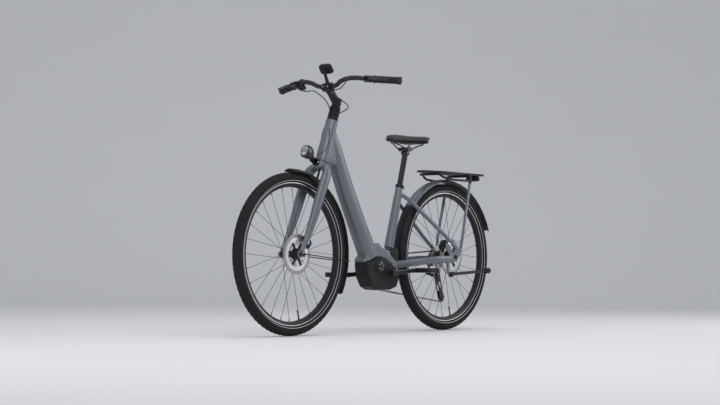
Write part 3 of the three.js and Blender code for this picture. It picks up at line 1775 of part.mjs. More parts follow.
function pedal(sign) {
  const turn = sign < 0 ? crankAngle : crankAngle + Math.PI;
  const eye = crankCentre.clone().addScaledVector(along(Math.cos(turn), 0, Math.sin(turn)), crankLength);
  const middle = sign * (crankArmY + crankArmThickness / 2 + pedalGap + pedalWidth / 2);
  const halfX = pedalLength / 2;
  const halfY = pedalWidth / 2;
  const edge = [
    [-1, -0.78],
    [-0.8, -1],
    [0.8, -1],
    [1, -0.78],
    [1, 0.78],
    [0.8, 1],
    [-0.8, 1],
    [-1, 0.78],
  ];
  const outline = edge.map(([a, b]) => [a * halfX, b * halfY]);
  const window = (direction) =>
    [
      [0.24, -0.76],
      [0.8, -0.66],
      [0.78, 0.68],
      [0.26, 0.74],
    ].map(([a, b]) => [direction * a * halfX, b * halfY]);
  const body = plate(outline, -pedalThickness / 2, pedalThickness / 2, [window(1), window(-1).reverse()]);
  body.rotateX(Math.PI / 2);
  body.translate(eye.x, middle, eye.z);
  const from = sign * (crankArmY + crankArmThickness / 2 + pedalGap - cutOver);
  const to = sign * (crankArmY + crankArmThickness / 2 + pedalGap + pedalWidth + cutOver);
  const bore = pin(pedalAxleRadius + seatGap, Math.min(from, to), Math.max(from, to), eye, left, 12);
  return cut(body, bore);
}

const guidePlace = along(dropoutX - guideBehind, 0, hubZ - guideDrop);
const tensionPlace = guidePlace.clone().add(along(-tensionBehind, 0, -tensionDrop));
// Circles in the order that the chain passes them; sense is the way it turns round each.
const chainCircles = [
  { place: crankCentre, teeth: chainringTeeth, sense: -1 },
  { place: tensionPlace, teeth: pulleyTeeth, sense: -1 },
  { place: guidePlace, teeth: pulleyTeeth, sense: 1 },
  { place: rearHubCentre, teeth: cassetteTeeth[drivenSprocket], sense: -1 },
];
// The straight run that leaves one circle and meets the next, from the usual tangent angles.
function tangent(a, b) {
  const ra = pitchRadius(a.teeth) * a.sense;
  const rb = pitchRadius(b.teeth) * b.sense;
  const dx = b.place.x - a.place.x;
  const dz = b.place.z - a.place.z;
  const reach = Math.hypot(dx, dz);
  const heading = Math.atan2(dz, dx) + Math.asin((ra - rb) / reach);
  const normal = [Math.sin(heading), -Math.cos(heading)];
  return {
    leave: [a.place.x + ra * normal[0], a.place.z + ra * normal[1]],
    meet: [b.place.x + rb * normal[0], b.place.z + rb * normal[1]],
  };
}

function chainRoute() {
  const runs = chainCircles.map((circleHere, k) => tangent(
    circleHere,
    chainCircles[(k + 1) % chainCircles.length],
  ));
  const route = [];
  chainCircles.forEach((circleHere, k) => {
    const arrive = runs[(k + chainCircles.length - 1) % chainCircles.length].meet;
    const leave = runs[k].leave;
    const from = Math.atan2(arrive[1] - circleHere.place.z, arrive[0] - circleHere.place.x);
    const to = Math.atan2(leave[1] - circleHere.place.z, leave[0] - circleHere.place.x);
    const full = 2 * Math.PI;
    const ahead = (turn) => ((turn % full) + full) % full;
    const sweep = circleHere.sense > 0 ? ahead(to - from) : -ahead(from - to);
    const count = Math.max(2, Math.ceil(Math.abs(sweep) * 8));
    for (let j = 0; j <= count; j += 1) {
      const turn = from + (sweep * j) / count;
      const radius = pitchRadius(circleHere.teeth);
      route.push([
        circleHere.place.x + radius * Math.cos(turn),
        circleHere.place.z + radius * Math.sin(turn),
      ]);
    }
  });
  return route;
}

// Evenly spaced places along the closed route.
function chainPlaces() {
  const route = chainRoute();
  const lengths = route.map((p, k) => {
    const q = route[(k + 1) % route.length];
    return Math.hypot(q[0] - p[0], q[1] - p[1]);
  });
  const total = lengths.reduce((a, b) => a + b, 0);
  const links = 2 * Math.round(total / chainPitch / 2);
  const places = [];
  let leg = 0;
  let done = 0;
  for (let k = 0; k < 2 * links; k += 1) {
    const wanted = (total * k) / (2 * links);
    while (done + lengths[leg] < wanted) {
      done += lengths[leg];
      leg += 1;
    }
    const p = route[leg];
    const q = route[(leg + 1) % route.length];
    const share = (wanted - done) / lengths[leg];
    places.push([p[0] + (q[0] - p[0]) * share, p[1] + (q[1] - p[1]) * share]);
  }
  return places;
}

function chain() {
  const places = chainPlaces();
  const rings = places.map(([x, z], k) => {
    const before = places.at(k - 1);
    const after = places[(k + 1) % places.length];
    const run = along(after[0] - before[0], 0, after[1] - before[1]).normalize();
    const rise = left.clone().cross(run);
    const tall = k % 2 ? chainWaistHalf : chainPlateHalf;
    const wide = (k % 4 === 1 ? 0.5 : 0.36) * chainWidth + (k % 2 ? 0 : 0.1 * chainWidth);
    const outline = [[-wide, -tall], [wide, -tall], [wide, tall], [-wide, tall]];
    return { centre: along(x, chainLine, z), side: left, rise, outline };
  });
  const slots = chainCircles.map(({ place, teeth }) => {
    const radius = pitchRadius(teeth);
    const half = toothThickness / 2 + seatGap;
    return ring(
      radius * 0.5,
      radius + toothHeight + 2 * seatGap,
      chainLine - half,
      chainLine + half,
      place,
      left,
      teeth > 2 * pulleyTeeth ? 24 : 16,
    );
  });
  return cut(loft(rings, { endless: true }), ...slots);
}

// Derailleur: a bracket on the hanger, a swinging link, a knuckle and the sprung cage.
const derailleurY = -(rearHub.spacing / 2 + dropoutThickness + 9);
const derailleurPivot = along(
  dropoutX + hangerReach * 0.2,
  derailleurY,
  hubZ - rearDropoutHeight * 0.36 - hangerDrop * 0.62,
);
const linkEnd = along(guidePlace.x + 26, derailleurY, guidePlace.z + 8);
const linkRun = linkEnd.clone().sub(derailleurPivot).normalize();
const linkAxis = linkRun.clone().cross(left).normalize();
const knuckleRadius = 9;
const linkThickness = 7;
const cagePlate = 2.2;
const cageHalf = 7;
function derailleurBody() {
  const inner = -rearHub.spacing / 2 - dropoutThickness - seatGap;
  const level = along(derailleurPivot.x, 0, derailleurPivot.z);
  const bolt = pin(knuckleRadius * 0.55, derailleurPivot.y, inner, level, left, 14);
  const barrel = pin(knuckleRadius, -knuckleRadius, knuckleRadius, derailleurPivot, linkAxis, 16);
  return joined(bolt, barrel);
}

function derailleurLink() {
  const arm = tapered(
    [
      [derailleurPivot, linkThickness * 0.7, knuckleRadius * 0.8],
      [derailleurPivot.clone().lerp(linkEnd, 0.5), linkThickness * 0.6, knuckleRadius * 0.62],
      [linkEnd, linkThickness * 0.7, knuckleRadius * 0.8],
    ],
    { sides: 8, power: 3 },
  );
  const room = (place) => pin(
    knuckleRadius + seatGap,
    -2 * knuckleRadius,
    2 * knuckleRadius,
    place,
    linkAxis,
    16,
  );
  return cut(arm, room(derailleurPivot), room(linkEnd));
}

function derailleurKnuckle() {
  const block = pin(knuckleRadius, -knuckleRadius, knuckleRadius, linkEnd, linkAxis, 16);
  const arm = tapered(
    [
      [linkEnd.clone().setY(linkEnd.y + linkThickness * 0.4), knuckleRadius * 0.9, linkThickness * 0.8],
      [
        along(guidePlace.x, linkEnd.y + linkThickness * 0.4, guidePlace.z),
        knuckleRadius * 0.9,
        linkThickness * 0.8,
      ],
    ],
    { sides: 10, power: 3 },
  );
  const outerFace = chainLine - cageHalf - cagePlate - seatGap;
  const pivot = pin(knuckleRadius, linkEnd.y, outerFace, along(guidePlace.x, 0, guidePlace.z), left, 14);
  return joined(block, arm, pivot);
}

// Two plates held apart by the pulley pins; the cage turns about the guide pulley.
function derailleurCage() {
  const run = tensionPlace.clone().sub(guidePlace);
  const reach = run.length();
  const heading = Math.atan2(run.z, run.x);
  const radius = pitchRadius(pulleyTeeth) * 0.62;
  const outline = [
    ...circle(radius, 12).slice(3, 10),
    ...circle(radius * 0.92, 12, reach, 0).slice(9),
    ...circle(radius * 0.92, 12, reach, 0).slice(0, 4),
  ];
  const slot = [
    [reach * 0.3, -radius * 0.4],
    [reach * 0.72, -radius * 0.4],
    [reach * 0.72, radius * 0.4],
    [reach * 0.3, radius * 0.4],
  ];
  const flat = (low) => plate(outline, low, low + cagePlate, [slot]);
  const pulleyPin = (x) => pin(
    pedalAxleRadius * 0.6,
    chainLine - cageHalf - cagePlate / 2,
    chainLine + cageHalf + cagePlate / 2,
    along(x, 0, 0),
    left,
    10,
  );
  return joined(
    flat(chainLine - cageHalf - cagePlate),
    flat(chainLine + cageHalf),
    pulleyPin(0),
    pulleyPin(reach),
  )
    .rotateY(-heading)
    .translate(guidePlace.x, 0, guidePlace.z);
}

function pulley(place) {
  const disc = plate(
    toothOutline(pulleyTeeth),
    chainLine - toothThickness / 2,
    chainLine + toothThickness / 2,
  );
  const boss = pin(
    pitchRadius(pulleyTeeth) * 0.4,
    chainLine - cageHalf + seatGap,
    chainLine + cageHalf - seatGap,
    along(0, 0, 0),
    left,
    12,
  );
  const bore = pin(
    pedalAxleRadius * 0.6 + seatGap,
    chainLine - 2 * cageHalf,
    chainLine + 2 * cageHalf,
    along(0, 0, 0),
    left,
    10,
  );
  return cut(joined(disc, boss), bore).translate(place.x, 0, place.z);
}

// Brake hoses from the levers to the headset cover, where they go inside.
function hose(sign) {
  const { place, run, lift } = leverFrame(sign);
  const pivot = leverPivot(sign);
  const start = pivot.clone().addScaledVector(run, -perchLength * 1.5 - 1.2 * seatGap);
  const entry = along(coverRadius * 1.05 * -sign, sign * coverRadius * 0.3, headTop + coverHeight * 0.72);
  return bentRod(
    [
      start,
      start.clone().addScaledVector(run, -perchLength * 0.8),
      place.clone().lerp(barPlace, 0.5).addScaledVector(
        levelForward,
        leverReach * 1.1,
      ).addScaledVector(levelUp, -barRadius * 2.4),
      barPlace.clone().add(along(
        stemArmRadius * (sign > 0 ? 0.6 : 1.9),
        sign * barClampLength * 0.95,
        -stemRise * 0.55,
      )),
      along(entry.x * 1.5, sign * coverRadius * 1.5, headTop + coverHeight * 1.3),
      entry,
    ],
    hoseRadius,
    5,
    18,
  );
}

// The assembly
add("fork", fork(), "framePaint", steering);
add("head_tube", headTube(), "framePaint", steering);
add("headset_cover", headsetCover(), "plastic", steering);
add("stem", stem(), "black", steering);
add("handlebar", handlebar(), "black", steering);
add("grip_left", grip(1), "rubber", steering);
add("grip_right", grip(-1), "rubber", steering);
add("brake_clamp_left", perch(1), "black", steering);
add("brake_clamp_right", perch(-1), "black", steering);
add("brake_lever_left", brakeLever(1), "black", steering);
add("brake_lever_right", brakeLever(-1), "black", steering);
add("gear_shifter", shifter(), "plastic", steering);
add("shift_lever", shiftPaddle(), "plastic", steering);
add("display", display(), "plastic", steering);
add("headlight_bracket", headlightBracket(), "black", steering);
add("headlight", headlight(), "lens", steering);
const frontWheelPlace = new THREE.Group();
frontWheelPlace.position.x = forkOffset;
frontWheelPlace.rotation.y = leanBack;
steering.add(frontWheelPlace);
add("front_guard", frontGuard(), "black", frontWheelPlace);
const frontCaliper = caliper(
  frontHub.discMount,
  THREE.MathUtils.degToRad(118),
).translate(forkOffset, 0, 0);
add("front_caliper", cut(frontCaliper, blade(1, seatGap)), "black", steering);
add("hose_left", hose(1), "rubber", steering);
add("hose_right", hose(-1), "rubber", steering);
add("down_tube", downTube(), "framePaint");
add("seat_tube", seatTube(), "framePaint");
add("chainstay_left", chainstay(1), "framePaint");
add("chainstay_right", chainstay(-1), "framePaint");
add("seatstay_left", seatstay(1), "framePaint");
add("seatstay_right", seatstay(-1), "framePaint");
add("seat_clamp", seatClamp(), "black");
add("drive_motor", driveMotor(), "plastic");
add("rack_platform", rackPlatform(), "black");
add("rack_frame", rackFrame(), "framePaint");
add("rear_guard", rearGuard(), "black");
add("rear_light", rearLight(), "plastic");
add("rear_caliper", rearCaliper(), "black");
add("kickstand", standLeg(), "black");
add("seatpost", seatPost(), "black");
add("saddle", saddleBody(), "cushion");
add("saddle_rails", saddleRails(), "steel");
add("chain", chain(), "steel");
add("cassette", cassette(), "steel");
add("chainring", chainring(), "black");
add("crank_left", crank(1), "black");
add("crank_right", crank(-1), "black");
add("pedal_left", pedal(1), "plastic");
add("pedal_right", pedal(-1), "plastic");
add("derailleur_body", derailleurBody(), "alloy");
add("derailleur_link", derailleurLink(), "alloy");
add("derailleur_knuckle", derailleurKnuckle(), "alloy");
add("derailleur_cage", derailleurCage(), "alloy");
add("guide_pulley", pulley(guidePlace), "plastic");
add("tension_pulley", pulley(tensionPlace), "plastic");

// The origin goes to the ground under the middle of the whole bicycle.
const reach = new THREE.Box3().setFromObject(bicycle);
bicycle.position.x = -(reach.min.x + reach.max.x) / 2;

export default bicycle;
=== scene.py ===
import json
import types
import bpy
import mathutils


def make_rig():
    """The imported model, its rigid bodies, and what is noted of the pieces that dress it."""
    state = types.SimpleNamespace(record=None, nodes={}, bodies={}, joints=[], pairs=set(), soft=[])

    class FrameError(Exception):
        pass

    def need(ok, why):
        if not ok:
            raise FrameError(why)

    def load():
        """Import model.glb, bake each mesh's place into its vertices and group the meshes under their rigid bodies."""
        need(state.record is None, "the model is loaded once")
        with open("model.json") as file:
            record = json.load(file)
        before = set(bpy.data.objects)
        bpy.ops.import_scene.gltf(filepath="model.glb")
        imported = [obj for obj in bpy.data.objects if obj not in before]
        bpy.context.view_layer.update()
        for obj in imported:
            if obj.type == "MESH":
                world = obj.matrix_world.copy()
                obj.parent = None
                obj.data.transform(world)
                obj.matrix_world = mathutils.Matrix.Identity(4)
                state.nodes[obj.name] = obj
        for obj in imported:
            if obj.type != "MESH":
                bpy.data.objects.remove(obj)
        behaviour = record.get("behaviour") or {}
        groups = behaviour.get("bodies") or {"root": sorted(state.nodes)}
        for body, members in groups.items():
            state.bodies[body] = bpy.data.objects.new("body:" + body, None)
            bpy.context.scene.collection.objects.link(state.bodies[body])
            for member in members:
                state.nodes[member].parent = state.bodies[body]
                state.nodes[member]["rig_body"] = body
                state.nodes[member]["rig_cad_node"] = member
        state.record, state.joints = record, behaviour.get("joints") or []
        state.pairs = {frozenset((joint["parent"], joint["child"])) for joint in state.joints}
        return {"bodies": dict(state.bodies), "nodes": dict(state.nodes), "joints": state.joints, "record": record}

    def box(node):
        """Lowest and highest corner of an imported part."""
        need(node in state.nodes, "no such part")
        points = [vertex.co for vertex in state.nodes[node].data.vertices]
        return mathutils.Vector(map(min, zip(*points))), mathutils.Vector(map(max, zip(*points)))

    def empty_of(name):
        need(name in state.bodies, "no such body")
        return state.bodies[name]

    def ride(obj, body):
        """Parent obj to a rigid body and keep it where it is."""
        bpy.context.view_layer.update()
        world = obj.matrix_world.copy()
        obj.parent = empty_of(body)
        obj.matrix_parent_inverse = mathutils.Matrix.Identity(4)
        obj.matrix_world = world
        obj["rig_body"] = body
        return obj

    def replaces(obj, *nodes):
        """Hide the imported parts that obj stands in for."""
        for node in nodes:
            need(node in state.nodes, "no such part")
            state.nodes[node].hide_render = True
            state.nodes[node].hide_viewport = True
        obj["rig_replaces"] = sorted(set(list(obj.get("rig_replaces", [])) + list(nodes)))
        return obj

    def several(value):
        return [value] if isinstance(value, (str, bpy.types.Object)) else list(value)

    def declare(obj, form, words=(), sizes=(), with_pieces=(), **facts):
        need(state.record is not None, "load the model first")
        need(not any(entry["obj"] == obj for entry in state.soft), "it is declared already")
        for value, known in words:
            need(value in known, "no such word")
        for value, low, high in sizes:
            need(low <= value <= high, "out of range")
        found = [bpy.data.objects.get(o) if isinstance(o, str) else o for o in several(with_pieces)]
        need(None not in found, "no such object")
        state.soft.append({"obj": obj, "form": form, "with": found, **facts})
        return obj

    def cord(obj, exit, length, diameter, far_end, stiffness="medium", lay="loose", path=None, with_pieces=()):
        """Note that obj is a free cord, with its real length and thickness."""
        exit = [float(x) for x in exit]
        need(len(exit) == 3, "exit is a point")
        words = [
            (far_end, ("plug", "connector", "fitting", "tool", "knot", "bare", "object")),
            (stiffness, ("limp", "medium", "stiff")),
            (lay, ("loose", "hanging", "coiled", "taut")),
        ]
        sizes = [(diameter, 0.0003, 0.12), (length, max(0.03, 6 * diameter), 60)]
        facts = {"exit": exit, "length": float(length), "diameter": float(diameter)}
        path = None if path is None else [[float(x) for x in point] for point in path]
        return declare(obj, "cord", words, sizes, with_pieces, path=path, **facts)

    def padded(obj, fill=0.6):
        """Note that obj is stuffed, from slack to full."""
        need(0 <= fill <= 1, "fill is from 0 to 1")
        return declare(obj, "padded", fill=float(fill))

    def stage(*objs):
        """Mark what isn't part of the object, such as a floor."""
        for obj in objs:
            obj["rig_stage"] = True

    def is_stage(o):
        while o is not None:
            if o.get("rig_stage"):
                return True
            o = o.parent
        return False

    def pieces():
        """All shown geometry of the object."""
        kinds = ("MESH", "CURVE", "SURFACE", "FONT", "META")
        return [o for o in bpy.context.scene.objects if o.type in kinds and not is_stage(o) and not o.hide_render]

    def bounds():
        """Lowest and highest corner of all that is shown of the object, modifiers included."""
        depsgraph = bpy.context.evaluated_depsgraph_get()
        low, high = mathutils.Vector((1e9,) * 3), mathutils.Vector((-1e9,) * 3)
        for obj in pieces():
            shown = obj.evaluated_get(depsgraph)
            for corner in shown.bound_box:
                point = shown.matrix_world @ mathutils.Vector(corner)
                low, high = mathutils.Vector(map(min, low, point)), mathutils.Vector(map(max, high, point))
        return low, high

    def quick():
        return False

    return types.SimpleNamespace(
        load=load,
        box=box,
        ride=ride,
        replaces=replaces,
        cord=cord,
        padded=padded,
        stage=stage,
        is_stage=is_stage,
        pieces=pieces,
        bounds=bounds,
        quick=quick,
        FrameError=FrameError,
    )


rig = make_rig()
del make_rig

bl_info = {
    "name": "Step Through Bike",
    "version": (1, 0, 0),
    "blender": (4, 5, 0),
    "location": "3D View > Sidebar > Bike",
    "description": "Dresses the packed model of a low-step city bicycle in its finished pieces",
    "category": "Object",
}

import json
import math
import sys
from contextlib import contextmanager

import bmesh
import bpy
import numpy as np
from mathutils import Matrix, Vector
from mathutils.bvhtree import BVHTree

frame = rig.load()
CAD_BOX = [list(corner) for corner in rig.bounds()]
NODES = frame["nodes"]
JOINTS = {joint["name"]: joint for joint in frame["joints"]}
BODY_OF = {node: body for body, nodes in frame["record"]["behaviour"]["bodies"].items() for node in nodes}
FRONT_HUB = Vector(JOINTS["front_wheel_spin"]["pos_m"])
REAR_HUB = Vector(JOINTS["rear_wheel_spin"]["pos_m"])
CRANK = Vector(JOINTS["crank_spin"]["pos_m"])
HEAD_FOOT = Vector(JOINTS["steer"]["pos_m"])
HEAD_UP = Vector(JOINTS["steer"]["axis"]).normalized()
HEAD_FORWARD = Vector((HEAD_UP.z, 0, -HEAD_UP.x))
LEFT = Vector((0, 1, 0))
UP = Vector((0, 0, 1))
WHEELS = {"front": FRONT_HUB, "rear": REAR_HUB}
SIDES = {"right": -1, "left": 1}


# Shader expressions: a socket that takes part in Python arithmetic.
class Value:
    """A number in a material's tree. Arithmetic with it adds the Math nodes."""

    def __init__(self, tree, socket):
        self.tree = tree
        self.socket = socket

    def maths(self, operation, *others):
        node = self.tree.nodes.new("ShaderNodeMath")
        node.operation = operation
        for place, term in enumerate((self, *others)):
            connect(self.tree, term, node.inputs[place])
        return Value(self.tree, node.outputs[0])

    def __add__(self, other):
        return self.maths("ADD", other)

    __radd__ = __add__

    def __sub__(self, other):
        return self.maths("SUBTRACT", other)

    def __mul__(self, other):
        return self.maths("MULTIPLY", other)

    def __truediv__(self, other):
        return self.maths("DIVIDE", other)


def connect(tree, source, socket):
    """Links a value to a socket, or writes a plain number or colour on it."""
    if isinstance(source, Value):
        tree.links.new(source.socket, socket)
    elif isinstance(source, bpy.types.NodeSocket):
        tree.links.new(source, socket)
    elif hasattr(source, "__len__") and len(source) == 3 and len(socket.default_value) == 4:
        socket.default_value = (*source, 1)
    else:
        socket.default_value = source


class Finish:
    """A procedural material on one Principled shader."""

    def __init__(self, name, **sockets):
        self.material = bpy.data.materials.new(name)
        self.material.use_nodes = True
        self.tree = self.material.node_tree
        self.shader = self.tree.nodes["Principled BSDF"]
        self.set(**sockets)

    def set(self, **sockets):
        for name, value in sockets.items():
            connect(self.tree, value, self.shader.inputs[name.replace("_", " ")])
        return self

    def node(self, kind, settings=None, inputs=None, output=0):
        node = self.tree.nodes.new("ShaderNode" + kind)
        for name, value in (settings or {}).items():
            setattr(node, name, value)
        for name, value in (inputs or {}).items():
            connect(self.tree, value, node.inputs[name])
        return Value(self.tree, node.outputs[output])

    def texture(self, kind, scale, settings=None, stretch=None, **inputs):
        """A texture in the piece's own coordinates."""
        spot = self.node("TexCoord", output="Object")
        if stretch:
            spot = self.node("Mapping", inputs={"Vector": spot, "Scale": stretch})
        return self.node("Tex" + kind, settings, {"Vector": spot, "Scale": scale, **inputs})

    def noise(self, scale, detail=3.0, stretch=None):
        return self.texture("Noise", scale, stretch=stretch, Detail=detail)

    def cells(self, scale, feature):
        return self.texture("Voronoi", scale, {"feature": feature})

    def mix(self, factor, first, second):
        node = self.tree.nodes.new("ShaderNodeMix")
        node.data_type = "RGBA"
        for socket, value in zip((node.inputs[0], node.inputs[6], node.inputs[7]), (factor, first, second)):
            connect(self.tree, value, socket)
        return Value(self.tree, node.outputs[2])

    def bump(self, height, distance, strength):
        inputs = {"Height": height, "Distance": distance, "Strength": strength}
        return self.set(Normal=self.node("Bump", inputs=inputs))


# Meshes
def linked(name, data):
    """A new object in the scene."""
    made = bpy.data.objects.new(name, data)
    bpy.context.scene.collection.objects.link(made)
    return made


def blank(name):
    return linked(name, bpy.data.meshes.new(name))


def spots_of(piece):
    return [vertex.co for vertex in piece.data.vertices]


def average(spots):
    return sum(spots, Vector()) / len(spots)


def mirrored(place, side):
    return Vector((place.x, place.y * side, place.z))


def evaluated(piece):
    """The piece's mesh with its modifiers, as a new mesh."""
    return bpy.data.meshes.new_from_object(piece.evaluated_get(bpy.context.evaluated_depsgraph_get()))


def renewed(piece, mesh):
    """Gives a piece another mesh in place of its own."""
    old, piece.data = piece.data, mesh
    bpy.data.meshes.remove(old)


def remove(piece):
    mesh = piece.data
    bpy.data.objects.remove(piece)
    bpy.data.meshes.remove(mesh)


@contextmanager
def shaping(mesh):
    """Opens a mesh for bmesh's operators and writes it back."""
    shaped = bmesh.new()
    shaped.from_mesh(mesh)
    yield shaped
    shaped.to_mesh(mesh)
    shaped.free()


def eased(stations, steps):
    """Points between the stations on a Catmull-Rom curve; a station is a tuple of vectors and numbers."""

    def between(a, b, c, d, t):
        return 0.5 * (b * 2 + (c - a) * t + (2 * a - 5 * b + 4 * c - d) * t * t + (3 * b - a - 3 * c + d) * t**3)

    last = len(stations) - 1
    found = []
    for i in range(last):
        around = [stations[max(0, i - 1)], stations[i], stations[i + 1], stations[min(last, i + 2)]]
        for k in range(steps):
            found.append(tuple(between(*(s[n] for s in around), k / steps) for n in range(len(stations[i]))))
    return [*found, stations[-1]]


def curved(places, steps):
    """The places joined by a curve through them."""
    return [step[0] for step in eased([(Vector(place),) for place in places], steps)]


def oval(half_side, half_rise, count, power=2.0):
    """A superellipse as pairs."""
    pairs = []
    for k in range(count):
        turn = 2 * math.pi * k / count
        c, s = (math.copysign(abs(f) ** (2 / power), f) for f in (math.cos(turn), math.sin(turn)))
        pairs.append((half_side * c, half_rise * s))
    return pairs


def circle(radius, count=32, x=0.0, y=0.0):
    turns = [2 * math.pi * k / count for k in range(count)]
    return [(x + radius * math.cos(turn), y + radius * math.sin(turn)) for turn in turns]


def rounded(outline, radius):
    """The outline with each corner cut round by a curve of four points."""
    found = []
    for k, corner in enumerate(outline):
        here = Vector(corner)
        before = Vector(outline[k - 1]) - here
        after = Vector(outline[(k + 1) % len(outline)]) - here
        reach = min(radius, before.length * 0.45, after.length * 0.45)
        first = here + before.normalized() * reach
        last = here + after.normalized() * reach
        for i in range(4):
            t = i / 3
            found.append(tuple(first * (1 - t) ** 2 + here * (2 * t * (1 - t)) + last * t * t))
    return found


class Form:
    """Gathers the surfaces of one piece."""

    def __init__(self):
        self.points = []
        self.faces = []

    def add(self, mesh):
        """Takes a mesh in."""
        start = len(self.points)
        self.points.extend(vertex.co.copy() for vertex in mesh.vertices)
        self.faces.extend(tuple(start + v for v in face.vertices) for face in mesh.polygons)
        return self

    def loft(self, rings, closed=False):
        """Joins rings of as many points each; an open loft gets a cap at both ends."""
        start = len(self.points)
        count = len(rings[0])
        for ring in rings:
            self.points.extend(ring)
        spans = len(rings) if closed else len(rings) - 1
        for i in range(spans):
            a = start + i * count
            b = start + ((i + 1) % len(rings)) * count
            for k in range(count):
                n = (k + 1) % count
                self.faces.append((a + k, a + n, b + n, b + k))
        if not closed:
            top = start + (len(rings) - 1) * count
            self.faces.append(tuple(range(start + count - 1, start - 1, -1)))
            self.faces.append(tuple(range(top, top + count)))
        return self

    def tapered(self, stations, sides=24, power=2.0, sideways=LEFT, steps=5):
        """A tube whose stations are (centre, half across, half in height), eased between them."""
        path = eased([(place, *halves, *halves)[:3] for place, *halves in stations], steps)
        rings = []
        for i, (centre, half, rise) in enumerate(path):
            run = (path[min(i + 1, len(path) - 1)][0] - path[max(i - 1, 0)][0]).normalized()
            side = (sideways - run * sideways.dot(run)).normalized()
            lift = run.cross(side)
            rings.append([centre + side * a + lift * b for a, b in oval(half, rise, sides, power)])
        return self.loft(rings)

    def tube(self, path, radius, sides=12, steps=8):
        run = path[-1] - path[0]
        helper = LEFT if abs(run.normalized().dot(LEFT)) < 0.9 else UP
        return self.tapered([(place, radius) for place in path], sides, 2.0, helper, steps)

    def turned(self, profile, axis=LEFT, place=Vector(), segments=48):
        """Turns (radius, height) pairs about an axis; a radius of zero closes to a pole."""
        side = axis.orthogonal().normalized()
        across = axis.cross(side)
        starts = []
        for radius, height in profile:
            starts.append(len(self.points))
            middle = place + axis * height
            pole = radius < 1e-7
            for x, y in [(0, 0)] if pole else circle(radius, segments):
                self.points.append(middle + side * x + across * y)
        for i in range(len(profile) - 1):
            a, b = starts[i], starts[i + 1]
            pole_a, pole_b = profile[i][0] < 1e-7, profile[i + 1][0] < 1e-7
            if pole_a and pole_b:
                continue
            for k in range(segments):
                n = (k + 1) % segments
                if pole_a:
                    self.faces.append((a, b + n, b + k))
                elif pole_b:
                    self.faces.append((a + k, a + n, b))
                else:
                    self.faces.append((a + k, a + n, b + n, b + k))
        return self

    def pin(self, radius, low, high, place, axis=LEFT, segments=32, bevel=0.0006):
        edge = min(bevel, radius * 0.4, abs(high - low) * 0.4)
        profile = [(0, low), (radius - edge, low), (radius, low + edge), (radius, high - edge)]
        return self.turned([*profile, (radius - edge, high), (0, high)], axis, place, segments)

    def plate(self, outline, low, high, place=Vector(), side=Vector((1, 0, 0))):
        """An upright outline of (side, height) pairs given thickness along UP x side."""
        depth = UP.cross(side).normalized()
        flat = [place + side * a + UP * b for a, b in outline]
        return self.loft([[point + depth * reach for point in flat] for reach in (low, high)])

    def piece(self, name, merge=1e-5, outward=True):
        made = blank(name)
        made.data.from_pydata(self.points, [], self.faces)
        with shaping(made.data) as shaped:
            bmesh.ops.remove_doubles(shaped, verts=shaped.verts, dist=merge)
            if outward:
                bmesh.ops.recalc_face_normals(shaped, faces=shaped.faces)
        return made

    def dressed(self, name, body, finish_name, replaces=(), merge=1e-5, **looks):
        return dress(self.piece(name, merge), body, finish_name, replaces, **looks)


def modify(piece, kind, **settings):
    """Adds a modifier and applies it at once."""
    modifier = piece.modifiers.new(kind.title(), kind)
    for name, value in settings.items():
        setattr(modifier, name, value)
    bpy.context.view_layer.update()
    mesh = evaluated(piece)
    piece.modifiers.remove(modifier)
    renewed(piece, mesh)


def copy_of(name, node):
    """A merged copy of a CAD node, ready to be refined."""
    made = Form().add(NODES[node].data).piece(name, merge=2e-6, outward=False)
    with shaping(made.data) as flat:
        bmesh.ops.dissolve_limit(flat, angle_limit=math.radians(1.5), verts=flat.verts, edges=flat.edges)
    return made


def dress(piece, body, finish_name, replaces=(), smooth=32.0, bevel=0.0, segments=2):
    """Bevels and smooths a piece, gives it its finish and lets it ride on its body."""
    if bevel:
        limits = {"limit_method": "ANGLE", "angle_limit": math.radians(28), "use_clamp_overlap": True}
        modify(piece, "BEVEL", width=bevel, segments=segments, **limits)
    for face in piece.data.polygons:
        face.use_smooth = True
    piece.data.set_sharp_from_angle(angle=math.radians(smooth))
    if finish_name:
        piece.data.materials.clear()
        piece.data.materials.append(finish(finish_name))
    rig.ride(piece, body)
    if replaces:
        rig.replaces(piece, *replaces)
    return piece


def dress_copies(rows, smooth=32.0):
    """Dresses copies of CAD nodes from rows of node, finish and bevel."""
    for node, finish_name, edge in rows:
        dress(copy_of(node + "_part", node), BODY_OF[node], finish_name, [node], smooth, edge)


def cut_plate(name, outline, holes, thickness, place, edge):
    """A flat upright plate along the bicycle, with holes, centred in its thickness on the place."""
    curve = bpy.data.curves.new(name, "CURVE")
    curve.dimensions = "2D"
    curve.fill_mode = "BOTH"
    curve.extrude = thickness / 2 - edge
    curve.bevel_depth = edge
    curve.bevel_resolution = 1
    curve.offset = -edge
    for line in [outline, *holes]:
        spline = curve.splines.new("POLY")
        spline.points.add(len(line) - 1)
        for point, (x, y) in zip(spline.points, line):
            point.co = (x, y, 0, 1)
        spline.use_cyclic_u = True
    drawn = linked(name, curve)
    bpy.context.view_layer.update()
    mesh = evaluated(drawn)
    bpy.data.objects.remove(drawn)
    bpy.data.curves.remove(curve)
    turn = Matrix(((1, 0, 0), UP, -LEFT)).transposed().to_4x4()
    mesh.transform(Matrix.Translation(place) @ turn)
    with shaping(mesh) as shaped:
        bmesh.ops.remove_doubles(shaped, verts=shaped.verts, dist=2e-6)
        bmesh.ops.recalc_face_normals(shaped, faces=shaped.faces)
    return linked(name, mesh)


def radial(node, centre, axis=LEFT):
    """Least and greatest distance from an axis, and least and greatest height along it."""
    spots = [spot - centre for spot in spots_of(NODES[node])]
    heights = [spot.dot(axis) for spot in spots]
    reaches = [(spot - axis * height).length for spot, height in zip(spots, heights)]
    return min(reaches), max(reaches), min(heights), max(heights)


